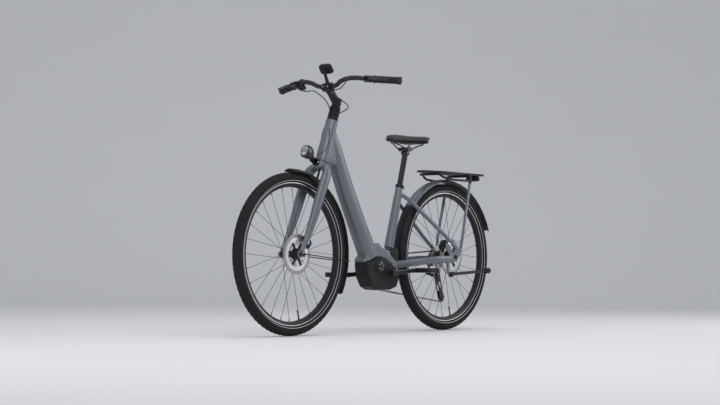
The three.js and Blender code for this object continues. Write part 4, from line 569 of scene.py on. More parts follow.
# Geometry Nodes for what repeats
class Repeater:
    """A tree with named inputs that sets one block many times and joins it to the base."""

    def __init__(self, name, **kinds):
        self.tree = bpy.data.node_groups.new(name, "GeometryNodeTree")
        face = self.tree.interface
        face.new_socket(name="Geometry", in_out="OUTPUT", socket_type="NodeSocketGeometry")
        self.sockets = {
            label: face.new_socket(name=label, in_out="INPUT", socket_type="NodeSocket" + kind)
            for label, kind in {"Base": "Geometry", "Block": "Object", **kinds, "Finish": "Material"}.items()
        }
        self.entry = self.tree.nodes.new("NodeGroupInput")
        self.index = self.node("GeometryNodeInputIndex")

    def given(self, label):
        return Value(self.tree, self.entry.outputs[label])

    def node(self, kind, inputs=None, output=0, **settings):
        node = self.tree.nodes.new(kind)
        for name, value in settings.items():
            setattr(node, name, value)
        for name, value in (inputs or {}).items():
            connect(self.tree, value, node.inputs[name])
        return Value(self.tree, node.outputs[output])

    def vector(self, x, y, z):
        return self.node("ShaderNodeCombineXYZ", {"X": x, "Y": y, "Z": z})

    def added(self, first, second):
        return self.node("ShaderNodeVectorMath", {0: first, 1: second}, operation="ADD")

    def scaled(self, vector, factor):
        return self.node("ShaderNodeVectorMath", {0: vector, "Scale": factor}, operation="SCALE")

    def close(self, points, rotation):
        block = self.node("GeometryNodeObjectInfo", {"Object": self.given("Block")}, "Geometry")
        places = {"Points": points, "Instance": block, "Rotation": rotation}
        placed = self.node("GeometryNodeInstanceOnPoints", places)
        both = self.tree.nodes.new("GeometryNodeJoinGeometry")
        real = self.node("GeometryNodeRealizeInstances", {"Geometry": placed})
        connect(self.tree, real, both.inputs[0])
        connect(self.tree, self.given("Base"), both.inputs[0])
        coat = {"Geometry": both.outputs[0], "Material": self.given("Finish")}
        leave = self.tree.nodes.new("NodeGroupOutput")
        connect(self.tree, self.node("GeometryNodeSetMaterial", coat), leave.inputs[0])
        return self

    def set(self, piece, block, finish_name, **values):
        """Runs the tree on a piece and leaves a plain mesh; the block is used up."""
        modifier = piece.modifiers.new("Repeat", "NODES")
        modifier.node_group = self.tree
        for label, value in {"Block": block, "Finish": finish(finish_name), **values}.items():
            modifier[self.sockets[label].identifier] = value
        bpy.context.view_layer.update()
        result = evaluated(piece)
        piece.modifiers.remove(modifier)
        renewed(piece, result)
        remove(block)


def ring_tree():
    """Blocks round the wheel's axis; a block's own X points outwards."""
    made = Repeater("round_the_axis", Count="Int", Radius="Float", Phase="Float", Centre="Vector")
    count = made.given("Count")
    turn = (made.index + made.given("Phase")) * (2 * math.pi) / count
    radius = made.given("Radius")
    reach = made.vector(radius * turn.maths("COSINE"), 0.0, radius * turn.maths("SINE"))
    place = made.added(reach, made.given("Centre"))
    points = made.node("GeometryNodePoints", {"Count": count, "Position": place})
    return made.close(points, made.vector(0.0, turn * -1, 0.0))


def row_tree():
    """Blocks in a straight row, as they were drawn."""
    made = Repeater("in_a_row", Count="Int", Start="Vector", Step="Vector")
    place = made.added(made.given("Start"), made.scaled(made.given("Step"), made.index))
    points = made.node("GeometryNodePoints", {"Count": made.given("Count"), "Position": place})
    return made.close(points, made.vector(0.0, 0.0, 0.0))


def route_tree():
    """Blocks along a closed line in the wheel's plane; a block's own X runs along the line."""
    made = Repeater("along_the_route", Route="Object", Count="Int", Phase="Float")
    line = made.node("GeometryNodeObjectInfo", {"Object": made.given("Route")}, "Geometry")
    curve = made.node("GeometryNodeMeshToCurve", {"Mesh": line})
    share = (made.index + made.given("Phase")) / made.given("Count")
    seeds = made.node("GeometryNodePoints", {"Count": made.given("Count")})
    sample = made.tree.nodes.new("GeometryNodeSampleCurve")
    sample.mode = "FACTOR"
    connect(made.tree, curve, sample.inputs["Curves"])
    connect(made.tree, share, sample.inputs["Factor"])
    axes = made.tree.nodes.new("ShaderNodeSeparateXYZ")
    connect(made.tree, sample.outputs["Tangent"], axes.inputs[0])
    x, _, z = (Value(made.tree, socket) for socket in axes.outputs)
    points = made.node("GeometryNodeSetPosition", {"Geometry": seeds, "Position": sample.outputs["Position"]})
    return made.close(points, made.vector(0.0, z.maths("ARCTAN2", x) * -1, 0.0))


TREES = {}


def tree(name):
    if name not in TREES:
        TREES[name] = {"ring": ring_tree, "row": row_tree, "route": route_tree}[name]()
    return TREES[name]


# Sizes and colours that a user would change
def colour_field(name, description, colour):
    return bpy.props.FloatVectorProperty(
        name=name, description="Colour of " + description, subtype="COLOR", default=colour
    )


def length_field(name, description, default):
    return bpy.props.FloatProperty(name=name, description=description, default=default, unit="LENGTH")


class BikeColours(bpy.types.PropertyGroup):
    paint: colour_field("Frame paint", "the frame and fork", (0.128, 0.143, 0.168))
    black: colour_field("Black parts", "anodised parts", (0.018, 0.0185, 0.02))
    rubber: colour_field("Rubber", "tyres and grips", (0.0105, 0.0107, 0.0112))
    saddle: colour_field("Saddle cover", "the saddle cover", (0.034, 0.034, 0.037))
    floor: colour_field("Floor", "the studio floor", (0.80, 0.80, 0.80))


class BikeSizes(bpy.types.PropertyGroup):
    lens: bpy.props.FloatProperty(name="Lens", description="Focal length on a 36 mm sensor, in mm", default=80.85)
    tread_rows: bpy.props.IntProperty(
        name="Tread blocks", description="Blocks in each row round a tyre", default=78, min=12
    )
    grip_ribs: bpy.props.IntProperty(name="Grip ribs", description="Ribs along each grip", default=16, min=1)
    spoke: length_field("Spoke thickness", "Diameter of a spoke", 0.0021)
    weld_grain: length_field("Weld grain", "Size of the grid in which the tubes are joined", 0.0019)
    bolt: length_field("Bolt head", "Radius of a bolt head", 0.0042)
    edge: length_field("Edge round", "Radius of broken edges on machined parts", 0.0007)


# Finishes of one cloudy noise: material, shader values, noise, dark and light colour or the shares of a colour
# of the panel, roughness with its spread, and the bump as its own noise or None for the same, depth and strength.
CLOUDY = {
    "shadow": ("shadow_gap", {"Roughness": 0.8}, (200, 2), (0.006, 0.006, 0.007), (0.012, 0.012, 0.013)),
    "black": (
        "black_anodised_alloy", {"Metallic": 0.3, "Specular_IOR_Level": 0.22}, (22, 4), ("black", 0.8),
        ("black", 1.6), (0.34, 0.14), ((900, 2), 0.00008, 0.3),
    ),
    "tyre": (
        "tyre_rubber", {"Specular_IOR_Level": 0.15}, (38, 5), ("rubber", 0.85), ("rubber", 2.1),
        (0.62, 0.2), ((700, 3), 0.00025, 0.5),
    ),
    "band": ("reflective_band", {"Roughness": 0.35}, (120, 2), (0.42, 0.43, 0.44), (0.62, 0.63, 0.64)),
    "grip": (
        "grip_rubber", {"Specular_IOR_Level": 0.22}, (260, 4), (0.012, 0.012, 0.013), (0.026, 0.026, 0.028),
        (0.66, 0.15), ((520, 3), 0.0003, 0.6),
    ),
    "gloss": (
        "black_gloss", {"Coat_Weight": 0.35, "Coat_Roughness": 0.1, "Specular_IOR_Level": 0.3}, (16, 4),
        (0.008, 0.008, 0.009), (0.016, 0.016, 0.017), (0.24, 0.14), ((700, 2), 0.00004, 0.3),
    ),
    "crank": (
        "forged_crank", {"Metallic": 0.5}, (60, 4, (1.0, 1.0, 3.0)), (0.011, 0.011, 0.012),
        (0.024, 0.024, 0.026), (0.3, 0.14), ((900, 2), 0.00006, 0.3),
    ),
    "track": (
        "rotor_track", {"Metallic": 0.9}, (300, 4), (0.26, 0.26, 0.265), (0.42, 0.42, 0.425),
        (0.24, 0.2), (None, 0.00005, 0.4),
    ),
    "mirror": (
        "polished_alloy", {"Metallic": 0.95}, (70, 5), (0.72, 0.715, 0.70), (0.86, 0.855, 0.84), (0.3, 0.14),
    ),
    "steel": (
        "ground_steel", {"Metallic": 0.95}, (240, 4), (0.50, 0.50, 0.49), (0.68, 0.68, 0.67),
        (0.24, 0.2), ((1200, 2), 0.00006, 0.4),
    ),
    "chain": (
        "oiled_chain_steel", {"Metallic": 0.9}, (150, 4), (0.16, 0.155, 0.15), (0.36, 0.355, 0.34), (0.28, 0.25),
    ),
    "grey": (
        "dark_grey_alloy", {"Metallic": 0.85}, (45, 4), (0.035, 0.035, 0.037), (0.075, 0.075, 0.079),
        (0.3, 0.16), ((1000, 2), 0.00006, 0.4),
    ),
    "silver": (
        "silver_alloy", {"Metallic": 0.9}, (60, 4), (0.48, 0.48, 0.49), (0.62, 0.62, 0.63), (0.26, 0.14),
    ),
    "hose": (
        "brake_hose", {"Specular_IOR_Level": 0.35}, (80, 3), (0.010, 0.010, 0.011), (0.019, 0.019, 0.02),
        (0.42, 0.1), ((900, 2), 0.00005, 0.3),
    ),
    "glass": (
        "display_glass", {"Roughness": 0.08, "Coat_Weight": 1.0, "Coat_Roughness": 0.03}, (30, 2),
        (0.008, 0.009, 0.01), (0.02, 0.021, 0.024),
    ),
    "spoke": (
        "black_spoke_steel", {"Metallic": 0.8}, (90, 3), (0.03, 0.03, 0.032), (0.09, 0.09, 0.094), (0.26, 0.12),
    ),
}
# Finishes whose grit also roughens them: material, shader values, noise of the colour, dark and light colour,
# noise of the grit, roughness with its spread, depth and strength of the bump.
GRITTY = {
    "plastic": (
        "moulded_plastic", {"Specular_IOR_Level": 0.22}, (14, 3), (0.009, 0.009, 0.010),
        (0.018, 0.018, 0.0195), (900, 3), (0.42, 0.14), (0.00018, 0.5),
    ),
    "casting": (
        "motor_casting", {"Metallic": 0.2, "Specular_IOR_Level": 0.22}, (18, 4), (0.010, 0.0102, 0.011),
        (0.021, 0.0213, 0.0225), (1100, 3), (0.44, 0.16), (0.0002, 0.5),
    ),
}
FINISHES = {}


def shade_of(colour):
    """A plain colour, or a share of one of the panel's colours."""
    if len(colour) == 3:
        return colour
    return tuple(c * colour[1] for c in getattr(bpy.context.scene.bike_colours, colour[0]))


def cloudy(name, sockets, noise, dark, light, roughness=None, bump=None):
    made = Finish(name, **sockets)
    cloud = made.noise(*noise)
    made.set(Base_Color=made.mix(cloud, shade_of(dark), shade_of(light)))
    if roughness:
        made.set(Roughness=roughness[0] + cloud * roughness[1])
    if bump:
        made.bump(made.noise(*bump[0]) if bump[0] else cloud, *bump[1:])
    return made


def gritty(name, sockets, noise, dark, light, grit_noise, roughness, bump):
    made = Finish(name, **sockets)
    grit = made.noise(*grit_noise)
    made.set(Base_Color=made.mix(made.noise(*noise), dark, light), Roughness=roughness[0] + grit * roughness[1])
    return made.bump(grit, *bump)


def frame_paint():
    made = Finish("slate_satin_paint", Metallic=0.25, Coat_Weight=0.25, Coat_Roughness=0.3)
    flake = made.noise(2600, 1)
    drift = made.noise(3.5, 2)
    light = tuple(min(1, c) for c in shade_of(("paint", 1.16)))
    made.set(Base_Color=made.mix(flake * 0.35 + drift * 0.4, shade_of(("paint", 0.9)), light))
    made.set(Roughness=0.36 + (drift - 0.5) * 0.08 + (flake - 0.5) * 0.1)
    return made.bump(made.noise(420, 2), 0.00012, 0.35)


def saddle_cover():
    made = Finish("saddle_cover", Sheen_Weight=0.12, Sheen_Roughness=0.5)
    patch = made.noise(26, 4)
    made.set(Base_Color=made.mix(patch, shade_of(("saddle", 0.8)), shade_of(("saddle", 1.35))))
    made.set(Roughness=0.5 + patch * 0.14)
    return made.bump(made.cells(520.0, "DISTANCE_TO_EDGE"), 0.0004, 0.45)


def clear_lens():
    made = Finish("clear_lens", Roughness=0.06, IOR=1.49, Transmission_Weight=0.85, Base_Color=(0.93, 0.95, 0.97))
    return made.bump(made.texture("Wave", 150.0, {"bands_direction": "Y"}), 0.0003, 0.35)


def reflector_cells():
    made = Finish("reflector_cells", Metallic=0.85, Roughness=0.12)
    cells = made.cells(230.0, "F1")
    made.set(Base_Color=made.mix(cells, (0.55, 0.56, 0.58), (0.82, 0.83, 0.85)))
    return made.bump(cells, 0.0012, 0.7)


def red_lens():
    made = Finish("red_lens", Roughness=0.12, Coat_Weight=0.5)
    cells = made.cells(260.0, "DISTANCE_TO_EDGE")
    made.set(Base_Color=made.mix(cells, (0.22, 0.008, 0.008), (0.48, 0.02, 0.015)))
    return made.bump(cells, 0.0005, 0.5)


MAKERS = {"paint": frame_paint, "saddle": saddle_cover, "lens": clear_lens, "cells": reflector_cells, "red": red_lens}


def finish(name):
    """The material of the named finish, made on first use."""
    if name not in FINISHES:
        if name in CLOUDY:
            made = cloudy(*CLOUDY[name])
        else:
            made = gritty(*GRITTY[name]) if name in GRITTY else MAKERS[name]()
        FINISHES[name] = made.material
    return FINISHES[name]


# Wheels
SPOKES = 28
SPOKE_LEAN = 62
TREAD_STEPS = 4
# One block of each tread row: start and end in degrees round the casing, half width at either, and skew.
TREAD = [
    (-8, 7, 0.0036, 0.0046, 0.0034),
    (10, 26, 0.0046, 0.004, -0.0034),
    (-28, -11, 0.004, 0.0046, -0.0034),
    (30, 52, 0.0056, 0.0044, 0.0028),
    (-52, -31, 0.0044, 0.0056, -0.0028),
]
VALVE_DEGREES = -101.25
# A hub's reach and the distance of its flanges from the middle.
HUBS = {"front": (0.0195, 0.0255), "rear": (0.024, 0.0235)}
NUT_THICK = 0.0085


def tyre_form(centre, outer, section, rim_reach):
    """The casing under the tread, turned about the hub's axis."""
    middle = outer - section
    profile = []
    for degrees in range(-132, 133, 6):
        turn = math.radians(degrees)
        steep = abs(degrees)
        reach = section - 0.0017 if steep < 50 else section - 0.0004 if steep < 64 else section - 0.0009
        profile.append((middle + reach * math.cos(turn), reach * math.sin(turn)))
    low = rim_reach - 0.005
    profile = [(low, -0.011), *profile, (low, 0.011), (low, -0.011)]
    return Form().turned(profile, LEFT, centre, 128)


def tread_block(name, section, start, end, half_start, half_end, skew):
    """One block that follows the casing round; its X points out of the wheel."""
    low, high = section - 0.0026, section - 0.0001
    rings = []
    for k in range(TREAD_STEPS + 1):
        share = k / TREAD_STEPS
        turn = math.radians(start + (end - start) * share)
        half = half_start + (half_end - half_start) * share
        ring = []
        for reach, wide in ((low, half), (high, half * 0.9), (high, -half * 0.9), (low, -half)):
            ring.append(Vector((reach * math.cos(turn) - section, reach * math.sin(turn), wide + skew * share)))
        rings.append(ring)
    return Form().loft(rings).piece(name)


def laced(centre, hub_flange, rim_reach, flange_y, body, name):
    """Spokes set by the ring tree, one block for each of the four ways a spoke can run."""
    piece = blank(name)
    half = bpy.context.scene.bike_sizes.spoke / 2
    for side in (-1, 1):
        for way in (-1, 1):
            lean = math.radians(SPOKE_LEAN) * way
            outside = side * (flange_y + way * 0.0022)
            start = Vector((hub_flange * math.cos(lean) - rim_reach, outside, hub_flange * math.sin(lean)))
            elbow = start + Vector((0, side * way * 0.0028, 0))
            end = Vector((-0.002, side * 0.0035, 0))
            nipple = end + (elbow - end).normalized() * 0.013
            form = Form().tube([start, elbow, nipple], half, 8, 3)
            form.tapered([(nipple, half * 1.7), (end, half * 1.9)], 8, 2.0, LEFT, 1)
            form.pin(half * 2.1, -half, half, elbow, LEFT, 10)
            places = {"Radius": rim_reach, "Phase": 0.25 * (side + 1) + 0.125 * (way + 1), "Centre": tuple(centre)}
            tree("ring").set(piece, form.piece(name + "_spoke"), "spoke", Count=SPOKES // 4, **places)
    dress(piece, body, None, smooth=50)


class BIKE_OT_tyres(bpy.types.Operator):
    """Tyres with tread blocks, a reflective line and mould ribs"""

    bl_idname = "bike.tyres"
    bl_label = "Tyres"

    def execute(self, context):
        for name, centre in WHEELS.items():
            body = BODY_OF[name + "_tyre"]
            _, outer, _, section = radial(name + "_tyre", centre)
            _, rim_reach, _, _ = radial(name + "_rim", centre)
            piece = tyre_form(centre, outer, section, rim_reach).piece(name + "_tyre_part")
            rows = {"Count": context.scene.bike_sizes.tread_rows, "Radius": outer, "Centre": tuple(centre)}
            for k, row in enumerate(TREAD):
                block = tread_block(name + "_block", section, *row)
                tree("ring").set(piece, block, "tyre", Phase=0.37 * k, **rows)
            dress(piece, body, None, [name + "_tyre"], smooth=34)
            middle = outer - section
            reach = section - 0.0006
            for where, side in SIDES.items():
                turns = [math.radians(side * (113 + 1.6 * k)) for k in range(4)]
                path = [(middle + reach * math.cos(t), reach * math.sin(t)) for t in turns]
                lift = [(middle + (reach + 0.0003) * math.cos(t), (reach + 0.0003) * math.sin(t)) for t in turns]
                line = Form().turned([*path, *reversed(lift), path[0]], LEFT, centre, 128)
                line.dressed(f"{name}_tyre_line_{where}", body, "band", smooth=40)
        return {"FINISHED"}


def rim_profile(inner, outer, half):
    side = [
        (inner + 0.0006, half * 0.42),
        (inner + 0.0022, half * 0.66),
        (inner + 0.009, half * 0.84),
        (outer - 0.0075, half * 0.985),
        (outer - 0.0012, half),
        (outer, half - 0.0008),
        (outer - 0.0006, half - 0.0018),
        (outer - 0.006, half - 0.0022),
        (outer - 0.007, half * 0.3),
    ]
    other = [(radius, -height) for radius, height in reversed(side)]
    return [other[-1], (inner, 0), *side, (outer - 0.0095, 0), *other]


class BIKE_OT_rims(bpy.types.Operator):
    """Rims with a silver line round each edge, a painted highlight on the black rim, and their valves"""

    bl_idname = "bike.rims"
    bl_label = "Rims"

    def execute(self, context):
        for name, centre in WHEELS.items():
            body = BODY_OF[name + "_rim"]
            inner, outer, _, half = radial(name + "_rim", centre)
            rim = Form().turned(rim_profile(inner, outer, half), LEFT, centre, 128)
            rim.dressed(name + "_rim_part", body, "black", [name + "_rim"], smooth=30)
            for where, side in SIDES.items():
                # How far each corner of the silver line, a painted highlight along the rim's edge, lies inside the
                # rim's reach and width.
                corners = [(0.0052, 0.0003), (0.0048, 0), (0.0014, 0), (0.0008, 0.0004), (0.003, 0.0009)]
                y = side * (half + 0.0001)
                profile = [(outer - inside, y - side * deep) for inside, deep in [*corners, corners[0]]]
                edge = Form().turned(profile, LEFT, centre, 128)
                edge.dressed(f"{name}_rim_edge_{where}", body, "silver", smooth=40)
            turn = math.radians(VALVE_DEGREES)
            out = Vector((math.cos(turn), 0, math.sin(turn)))
            valve = Form()
            for radius, low, high in ((0.003, -0.036, 0.002), (0.0042, -0.004, 0.0005), (0.0037, -0.045, -0.03)):
                valve.pin(radius, low, high, centre + out * inner, out, 20)
            valve.dressed(name + "_valve", body, "grey", smooth=35)
        return {"FINISHED"}


def hub_profile(flange, barrel, flange_y, half):
    side = [
        (barrel * 0.62, half),
        (barrel * 0.84, half - 0.0012),
        (barrel * 0.9, half - 0.004),
        (barrel * 1.12, flange_y + 0.0042),
        (flange * 0.86, flange_y + 0.0017),
        (flange, flange_y + 0.0013),
        (flange, flange_y - 0.0013),
        (flange * 0.82, flange_y - 0.0018),
        (barrel * 1.08, flange_y - 0.0052),
        (barrel * 0.94, flange_y * 0.5),
        (barrel * 0.9, 0),
    ]
    other = [(radius, -height) for radius, height in reversed(side[:-1])]
    return [(0, half), *side, *other, (0, -half)]


class BIKE_OT_hubs(bpy.types.Operator):
    """Hubs, spokes, axles and their nuts"""

    bl_idname = "bike.hubs"
    bl_label = "Hubs and spokes"

    def execute(self, context):
        for name, centre in WHEELS.items():
            reach, flange_y = HUBS[name]
            body = BODY_OF[name + "_hub"]
            rim_inner, _, _, _ = radial(name + "_rim", centre)
            _, _, _, high = radial(name + "_hub", centre)
            form = Form().turned(hub_profile(reach * 1.3, reach * 0.72, flange_y, high), LEFT, centre, 56)
            form.dressed(name + "_hub_part", body, "black", [name + "_hub"], smooth=34)
            laced(centre, reach * 1.16, rim_inner + 0.002, flange_y, body, name + "_spokes")
            _, nut_reach, axle_low, axle_high = radial(name + "_axle", centre)
            axle = Form().pin(0.0049, axle_low * 0.96, axle_high * 0.96, centre, LEFT, 24)
            for side, end in ((-1, axle_low), (1, axle_high)):
                start = min(end, end - side * NUT_THICK)
                axle.plate(circle(nut_reach * 0.98, 6), start, start + NUT_THICK, centre)
            made = [name + "_axle_part", BODY_OF[name + "_axle"], "grey", [name + "_axle"]]
            axle.dressed(*made, merge=0, bevel=0.0005, smooth=30)
        return {"FINISHED"}


# Frame and fork
# How far out of a bolt's place the search for the surface starts, and how deep its head is sunk.
BOLT_SEARCH = 0.08
BOLT_SUNK = 0.002


def relaxed(piece, rounds, firm=None):
    """Smooths a dense mesh without shrinking it; firm gives each place a share that stays put."""
    mesh = piece.data
    count = len(mesh.vertices)
    spots = np.empty(count * 3)
    mesh.vertices.foreach_get("co", spots)
    spots = spots.reshape(-1, 3)
    edges = np.empty(len(mesh.edges) * 2, dtype=np.int64)
    mesh.edges.foreach_get("vertices", edges)
    a, b = edges.reshape(-1, 2).T
    degree = np.bincount(np.concatenate([a, b]), minlength=count).clip(1)
    share = np.ones(count) if firm is None else 1 - firm(spots)
    for _ in range(rounds):
        for factor in (0.5, -0.52):
            middle = np.empty_like(spots)
            for axis in range(3):
                sums = np.bincount(a, weights=spots[b, axis], minlength=count)
                sums += np.bincount(b, weights=spots[a, axis], minlength=count)
                middle[:, axis] = sums / degree
            spots += (factor * share)[:, None] * (middle - spots)
    mesh.vertices.foreach_set("co", spots.ravel())
    mesh.update()


def welded(name, nodes, voxel, rounds, firm=None, most=180000, skins=()):
    """A union of CAD pieces and their smooth skins, whose joints flow together like filled welds."""
    form = Form()
    for node in nodes:
        form.add(NODES[node].data)
    for skin in skins:
        smooth = skin.piece("skin")
        form.add(smooth.data)
        remove(smooth)
    piece = form.piece(name, merge=0.0, outward=False)
    modify(piece, "REMESH", mode="VOXEL", voxel_size=voxel, use_smooth_shade=True)
    relaxed(piece, rounds, firm)
    triangles = sum(len(face.vertices) - 2 for face in piece.data.polygons)
    if triangles > most:
        modify(piece, "DECIMATE", ratio=most / triangles)
    return piece


def surface_of(piece):
    return BVHTree.FromPolygons(spots_of(piece), [tuple(face.vertices) for face in piece.data.polygons])


def seam(name, surface, places, half, body, finish_name, sides=6):
    """A thin line that follows a surface."""
    path = [surface.find_nearest(place)[0] for place in curved(places, 6)]
    Form().tube(path, half, sides, 1).dressed(name, body, finish_name, smooth=60)


def bolts_on(surface, seats, head=0.0022):
    """Button-head bolts with their sockets; a seat is a place near the surface, the way out and a radius."""
    form = Form()
    for place, toward, radius in seats:
        toward = Vector(toward).normalized()
        spot = surface.ray_cast(Vector(place) + toward * BOLT_SEARCH, -toward)[0]
        profile = [(0, -BOLT_SUNK), (radius, -BOLT_SUNK), (radius, head * 0.35)]
        profile += [(radius * math.cos(t), head * (0.35 + 0.65 * math.sin(t))) for t in (0.35, 0.7, 1.0)]
        profile += [(radius * 0.46, head), (radius * 0.42, head * 0.35), (0, head * 0.3)]
        form.turned(profile, toward, Vector(place) if spot is None else spot, 20)
    return form


def fasten(bolts, name, body, finish_name="silver"):
    bolts.dressed(name, body, finish_name, merge=0, smooth=35)


PAINTED = ["head_tube", "down_tube", "seat_tube", "chainstay_left", "chainstay_right"]
PAINTED += ["seatstay_left", "seatstay_right"]
# Where the cover's edge runs down the side of the head tube, from the photograph.
COVER_SEAM = [(0.3316, 0.0172, 0.9353), (0.3363, 0.0196, 0.9167), (0.3407, 0.0224, 0.8981), (0.3447, 0.0248, 0.8796)]
COVER_SEAM += [(0.3505, 0.0252, 0.861), (0.3598, 0.0244, 0.8424), (0.3713, 0.0196, 0.8269), (0.3812, 0.0104, 0.8172)]
COVER_SEAM += [(0.3855, 0, 0.8118)]
# Where a bolt sits, seen from the side, and the side it sits on.
FRAME_BOLTS = [(0.0227, 0.361, 1), (-0.0863, 0.365, 1), (-0.1253, 0.318, 1), (-0.3429, 0.5855, 1)]
FRAME_BOLTS += [(0.0227, 0.361, -1), (-0.0863, 0.365, -1), (-0.3429, 0.5855, -1)]
# Share of the run, bow, and the shares of depth and width, as in the CAD tube.
DOWN_TUBE = [(0, 0, 0.84, 0.72), (0.1, 0.006, 0.88, 0.9), (0.24, 0.014, 0.93, 1), (0.45, 0.02, 1, 1)]
DOWN_TUBE += [(0.75, 0.012, 1.04, 1.04), (1, 0, 1.12, 1.1)]
DOWN_RISE = 0.6055
DOWN_TOP = HEAD_FOOT + HEAD_UP * DOWN_RISE
DOWN_FOOT = CRANK + Vector((0.114, 0, 0.084))
# The web's rise along the head tube, its share of the way back to the down tube, and its half width behind.
WEB = [(0.4655, 0.12, 0.019), (0.474, 0.36, 0.0205), (0.485, 0.6, 0.0235), (0.502, 0.84, 0.0272)]
WEB += [(0.525, 0.97, 0.0297), (0.55, 1, 0.0301), (0.585, 1, 0.0301), (0.6, 0.8, 0.0297)]
# The head tube's profile, then the seat tube's half widths down its length.
HEAD_PROFILE = [(0, 0.4632), (0.0298, 0.4632), (0.0302, 0.48), (0.0282, 0.62), (0.0277, 0.6665), (0, 0.6665)]
SEAT_HALVES = [(0.0005, 0.0174), (0.02, 0.0178), (0.07, 0.0196), (0.14, 0.0208), (0.22, 0.0218), (0.30, 0.0232)]
SEAT_TOP = Vector((-0.2073, 0, 0.688))
SEAT_UP = Vector((-0.258819, 0, 0.965926))
# Share of the chainstay's run, distance from the middle, half width and half depth.
CHAINSTAY = [(0.14, 0.039, 0.0079, 0.0176), (0.4, 0.053, 0.0082, 0.0172), (0.66, 0.072, 0.0088, 0.0172)]
# Spread, rise and forward shares of a fork blade, then its width and depth, as in the CAD fork.
BLADE = [
    (0.45, 0.95, 0, 1.15, 1.18),
    (0.8, 0.915, 0.04, 1.15, 1.3),
    (0.97, 0.85, 0.15, 1.15, 1.46),
    (1, 0.65, 0.33, 1.18, 1.5),
    (1, 0.43, 0.42, 1.04, 1.3),
    (1, 0.24, 0.58, 0.84, 1.02),
    (1, 0.13, 0.75, 0.69, 0.8),
]


def down_tube_form():
    """The down tube with round flanks, and the web that fairs it into the head tube."""
    form = Form()
    run = DOWN_FOOT - DOWN_TOP
    across = Vector((-run.z, 0, run.x)).normalized()
    stations = []
    for share, bow, deep, wide in DOWN_TUBE:
        stations.append((DOWN_TOP + run * share + across * (bow * run.length), 0.035 * wide, 0.041 * deep))
    form.tapered(stations, 56, 2.7, LEFT, 8)
    rings = []
    for rise, share, rear in WEB:
        along = (rise - DOWN_RISE) / run.dot(HEAD_UP)
        back = -run.dot(HEAD_FORWARD) * along * share
        spot = HEAD_FOOT + HEAD_UP * rise
        ring = []
        for k in range(40):
            c, s = math.cos(math.pi * k / 20), math.sin(math.pi * k / 20)
            reach = 0.022 * c if c > 0 else 0.014 * c - back
            wide = 0.0281 if c > 0 else rear
            ring.append(spot + HEAD_FORWARD * reach + LEFT * (wide * s))
        rings.append(ring)
    return form.loft(rings)


def blades_form():
    form = Form()
    offset = (FRONT_HUB - HEAD_FOOT).dot(HEAD_FORWARD)
    for side in (-1, 1):
        stations = []
        for spread, rise, ahead, wide, deep in BLADE:
            place = HEAD_FOOT + HEAD_FORWARD * (ahead * offset) + LEFT * (side * spread * 0.057)
            stations.append((place + HEAD_UP * (rise * 0.463), 0.01462 * wide, 0.017 * deep))
        form.tapered(stations, 40, 2.3, (LEFT - HEAD_UP * (0.35 * side)).normalized(), 7)
    return form


def stays_form():
    """Smooth skins for the head tube, the seat tube and the chainstays."""
    form = Form().turned(HEAD_PROFILE, HEAD_UP, HEAD_FOOT, 64)
    form.tapered([(SEAT_TOP - SEAT_UP * down, half, half) for down, half in SEAT_HALVES], 40, 2.0, LEFT, 4)
    for side in (-1, 1):
        root = Vector((-0.722 + FRONT_HUB.x - 0.00475, side * 0.02244, CRANK.z + 0.03776))
        spots = [(root, 0.0084, 0.0185)]
        for share, y, wide, deep in CHAINSTAY:
            place = root.lerp(Vector((REAR_HUB.x, 0, REAR_HUB.z)), share)
            spots.append((Vector((place.x, side * y, place.z)), wide, deep))
        spots.append((Vector((REAR_HUB.x + 0.032, side * 0.0744, REAR_HUB.z - 0.0112)), 0.0082, 0.0166))
        form.tapered(spots, 36, 2.6, LEFT, 7)
    return form


class BIKE_OT_frame(bpy.types.Operator):
    """The painted frame in one flowing piece, its cover seams and bolts"""

    bl_idname = "bike.frame"
    bl_label = "Frame"

    def execute(self, context):
        sizes = context.scene.bike_sizes
        back = REAR_HUB.x + 0.05

        def firm(spots):
            return np.clip((back - spots[:, 0]) / 0.02, 0, 1) * 0.85

        skins = [down_tube_form(), stays_form()]
        main = welded("main_frame", PAINTED, sizes.weld_grain, 22, firm, skins=skins)
        surface = surface_of(main)
        dress(main, "frame", "paint", PAINTED, smooth=60)
        left = [Vector(place) for place in COVER_SEAM]
        right = [mirrored(place, -1) for place in reversed(left[:-1])]
        seam("cover_seam", surface, [*left, *right], 0.0012, "frame", "shadow")
        seam("cover_slot_left", surface, left[:3], 0.0021, "frame", "shadow", 12)
        seam("cover_slot_right", surface, right[-3:], 0.0021, "frame", "shadow", 12)
        seats = [((x, side * 0.05, z), (0, side, 0), sizes.bolt) for x, z, side in FRAME_BOLTS]
        fasten(bolts_on(surface, seats), "frame_bolts", "frame")
        fork = welded("fork_part", ["fork"], sizes.weld_grain * 0.8, 16, None, 130000, [blades_form()])
        dress(fork, "steering", "paint", ["fork"], smooth=60)
        dress_copies([("seat_clamp", "black", 0.0008)])
        return {"FINISHED"}


# Handlebar, controls and lamp
HOSE_ROUTES = {
    "left": [
        (0.3413, 0.1755, 1.1523), (0.3509, 0.1502, 1.1547), (0.3610, 0.1066, 1.1090),
        (0.3469, 0.0437, 1.0945), (0.2257, 0.0375, 1.0423), (0.2522, 0.0075, 1.0088),
    ],
    "right": [
        (0.3413, -0.1755, 1.1523), (0.3509, -0.1502, 1.1547), (0.3610, -0.1066, 1.1090),
        (0.3701, -0.0437, 1.1031), (0.2996, -0.0375, 1.0696), (0.3014, -0.0075, 1.0270),
    ],
}
GRIP_START = Vector((0.2878, 0.2358, 1.1467))
GRIP_END = Vector((0.2424, 0.3550, 1.1360))
RIB_MARGIN = 0.018
HOSE_RADIUS = 0.0024
STEM_BOLTS = [(across, rise) for across in (-0.014, 0.014) for rise in (1.104, 1.124)]
DISPLAY_TILT = 0.6
HEADSET_RIBS = 7
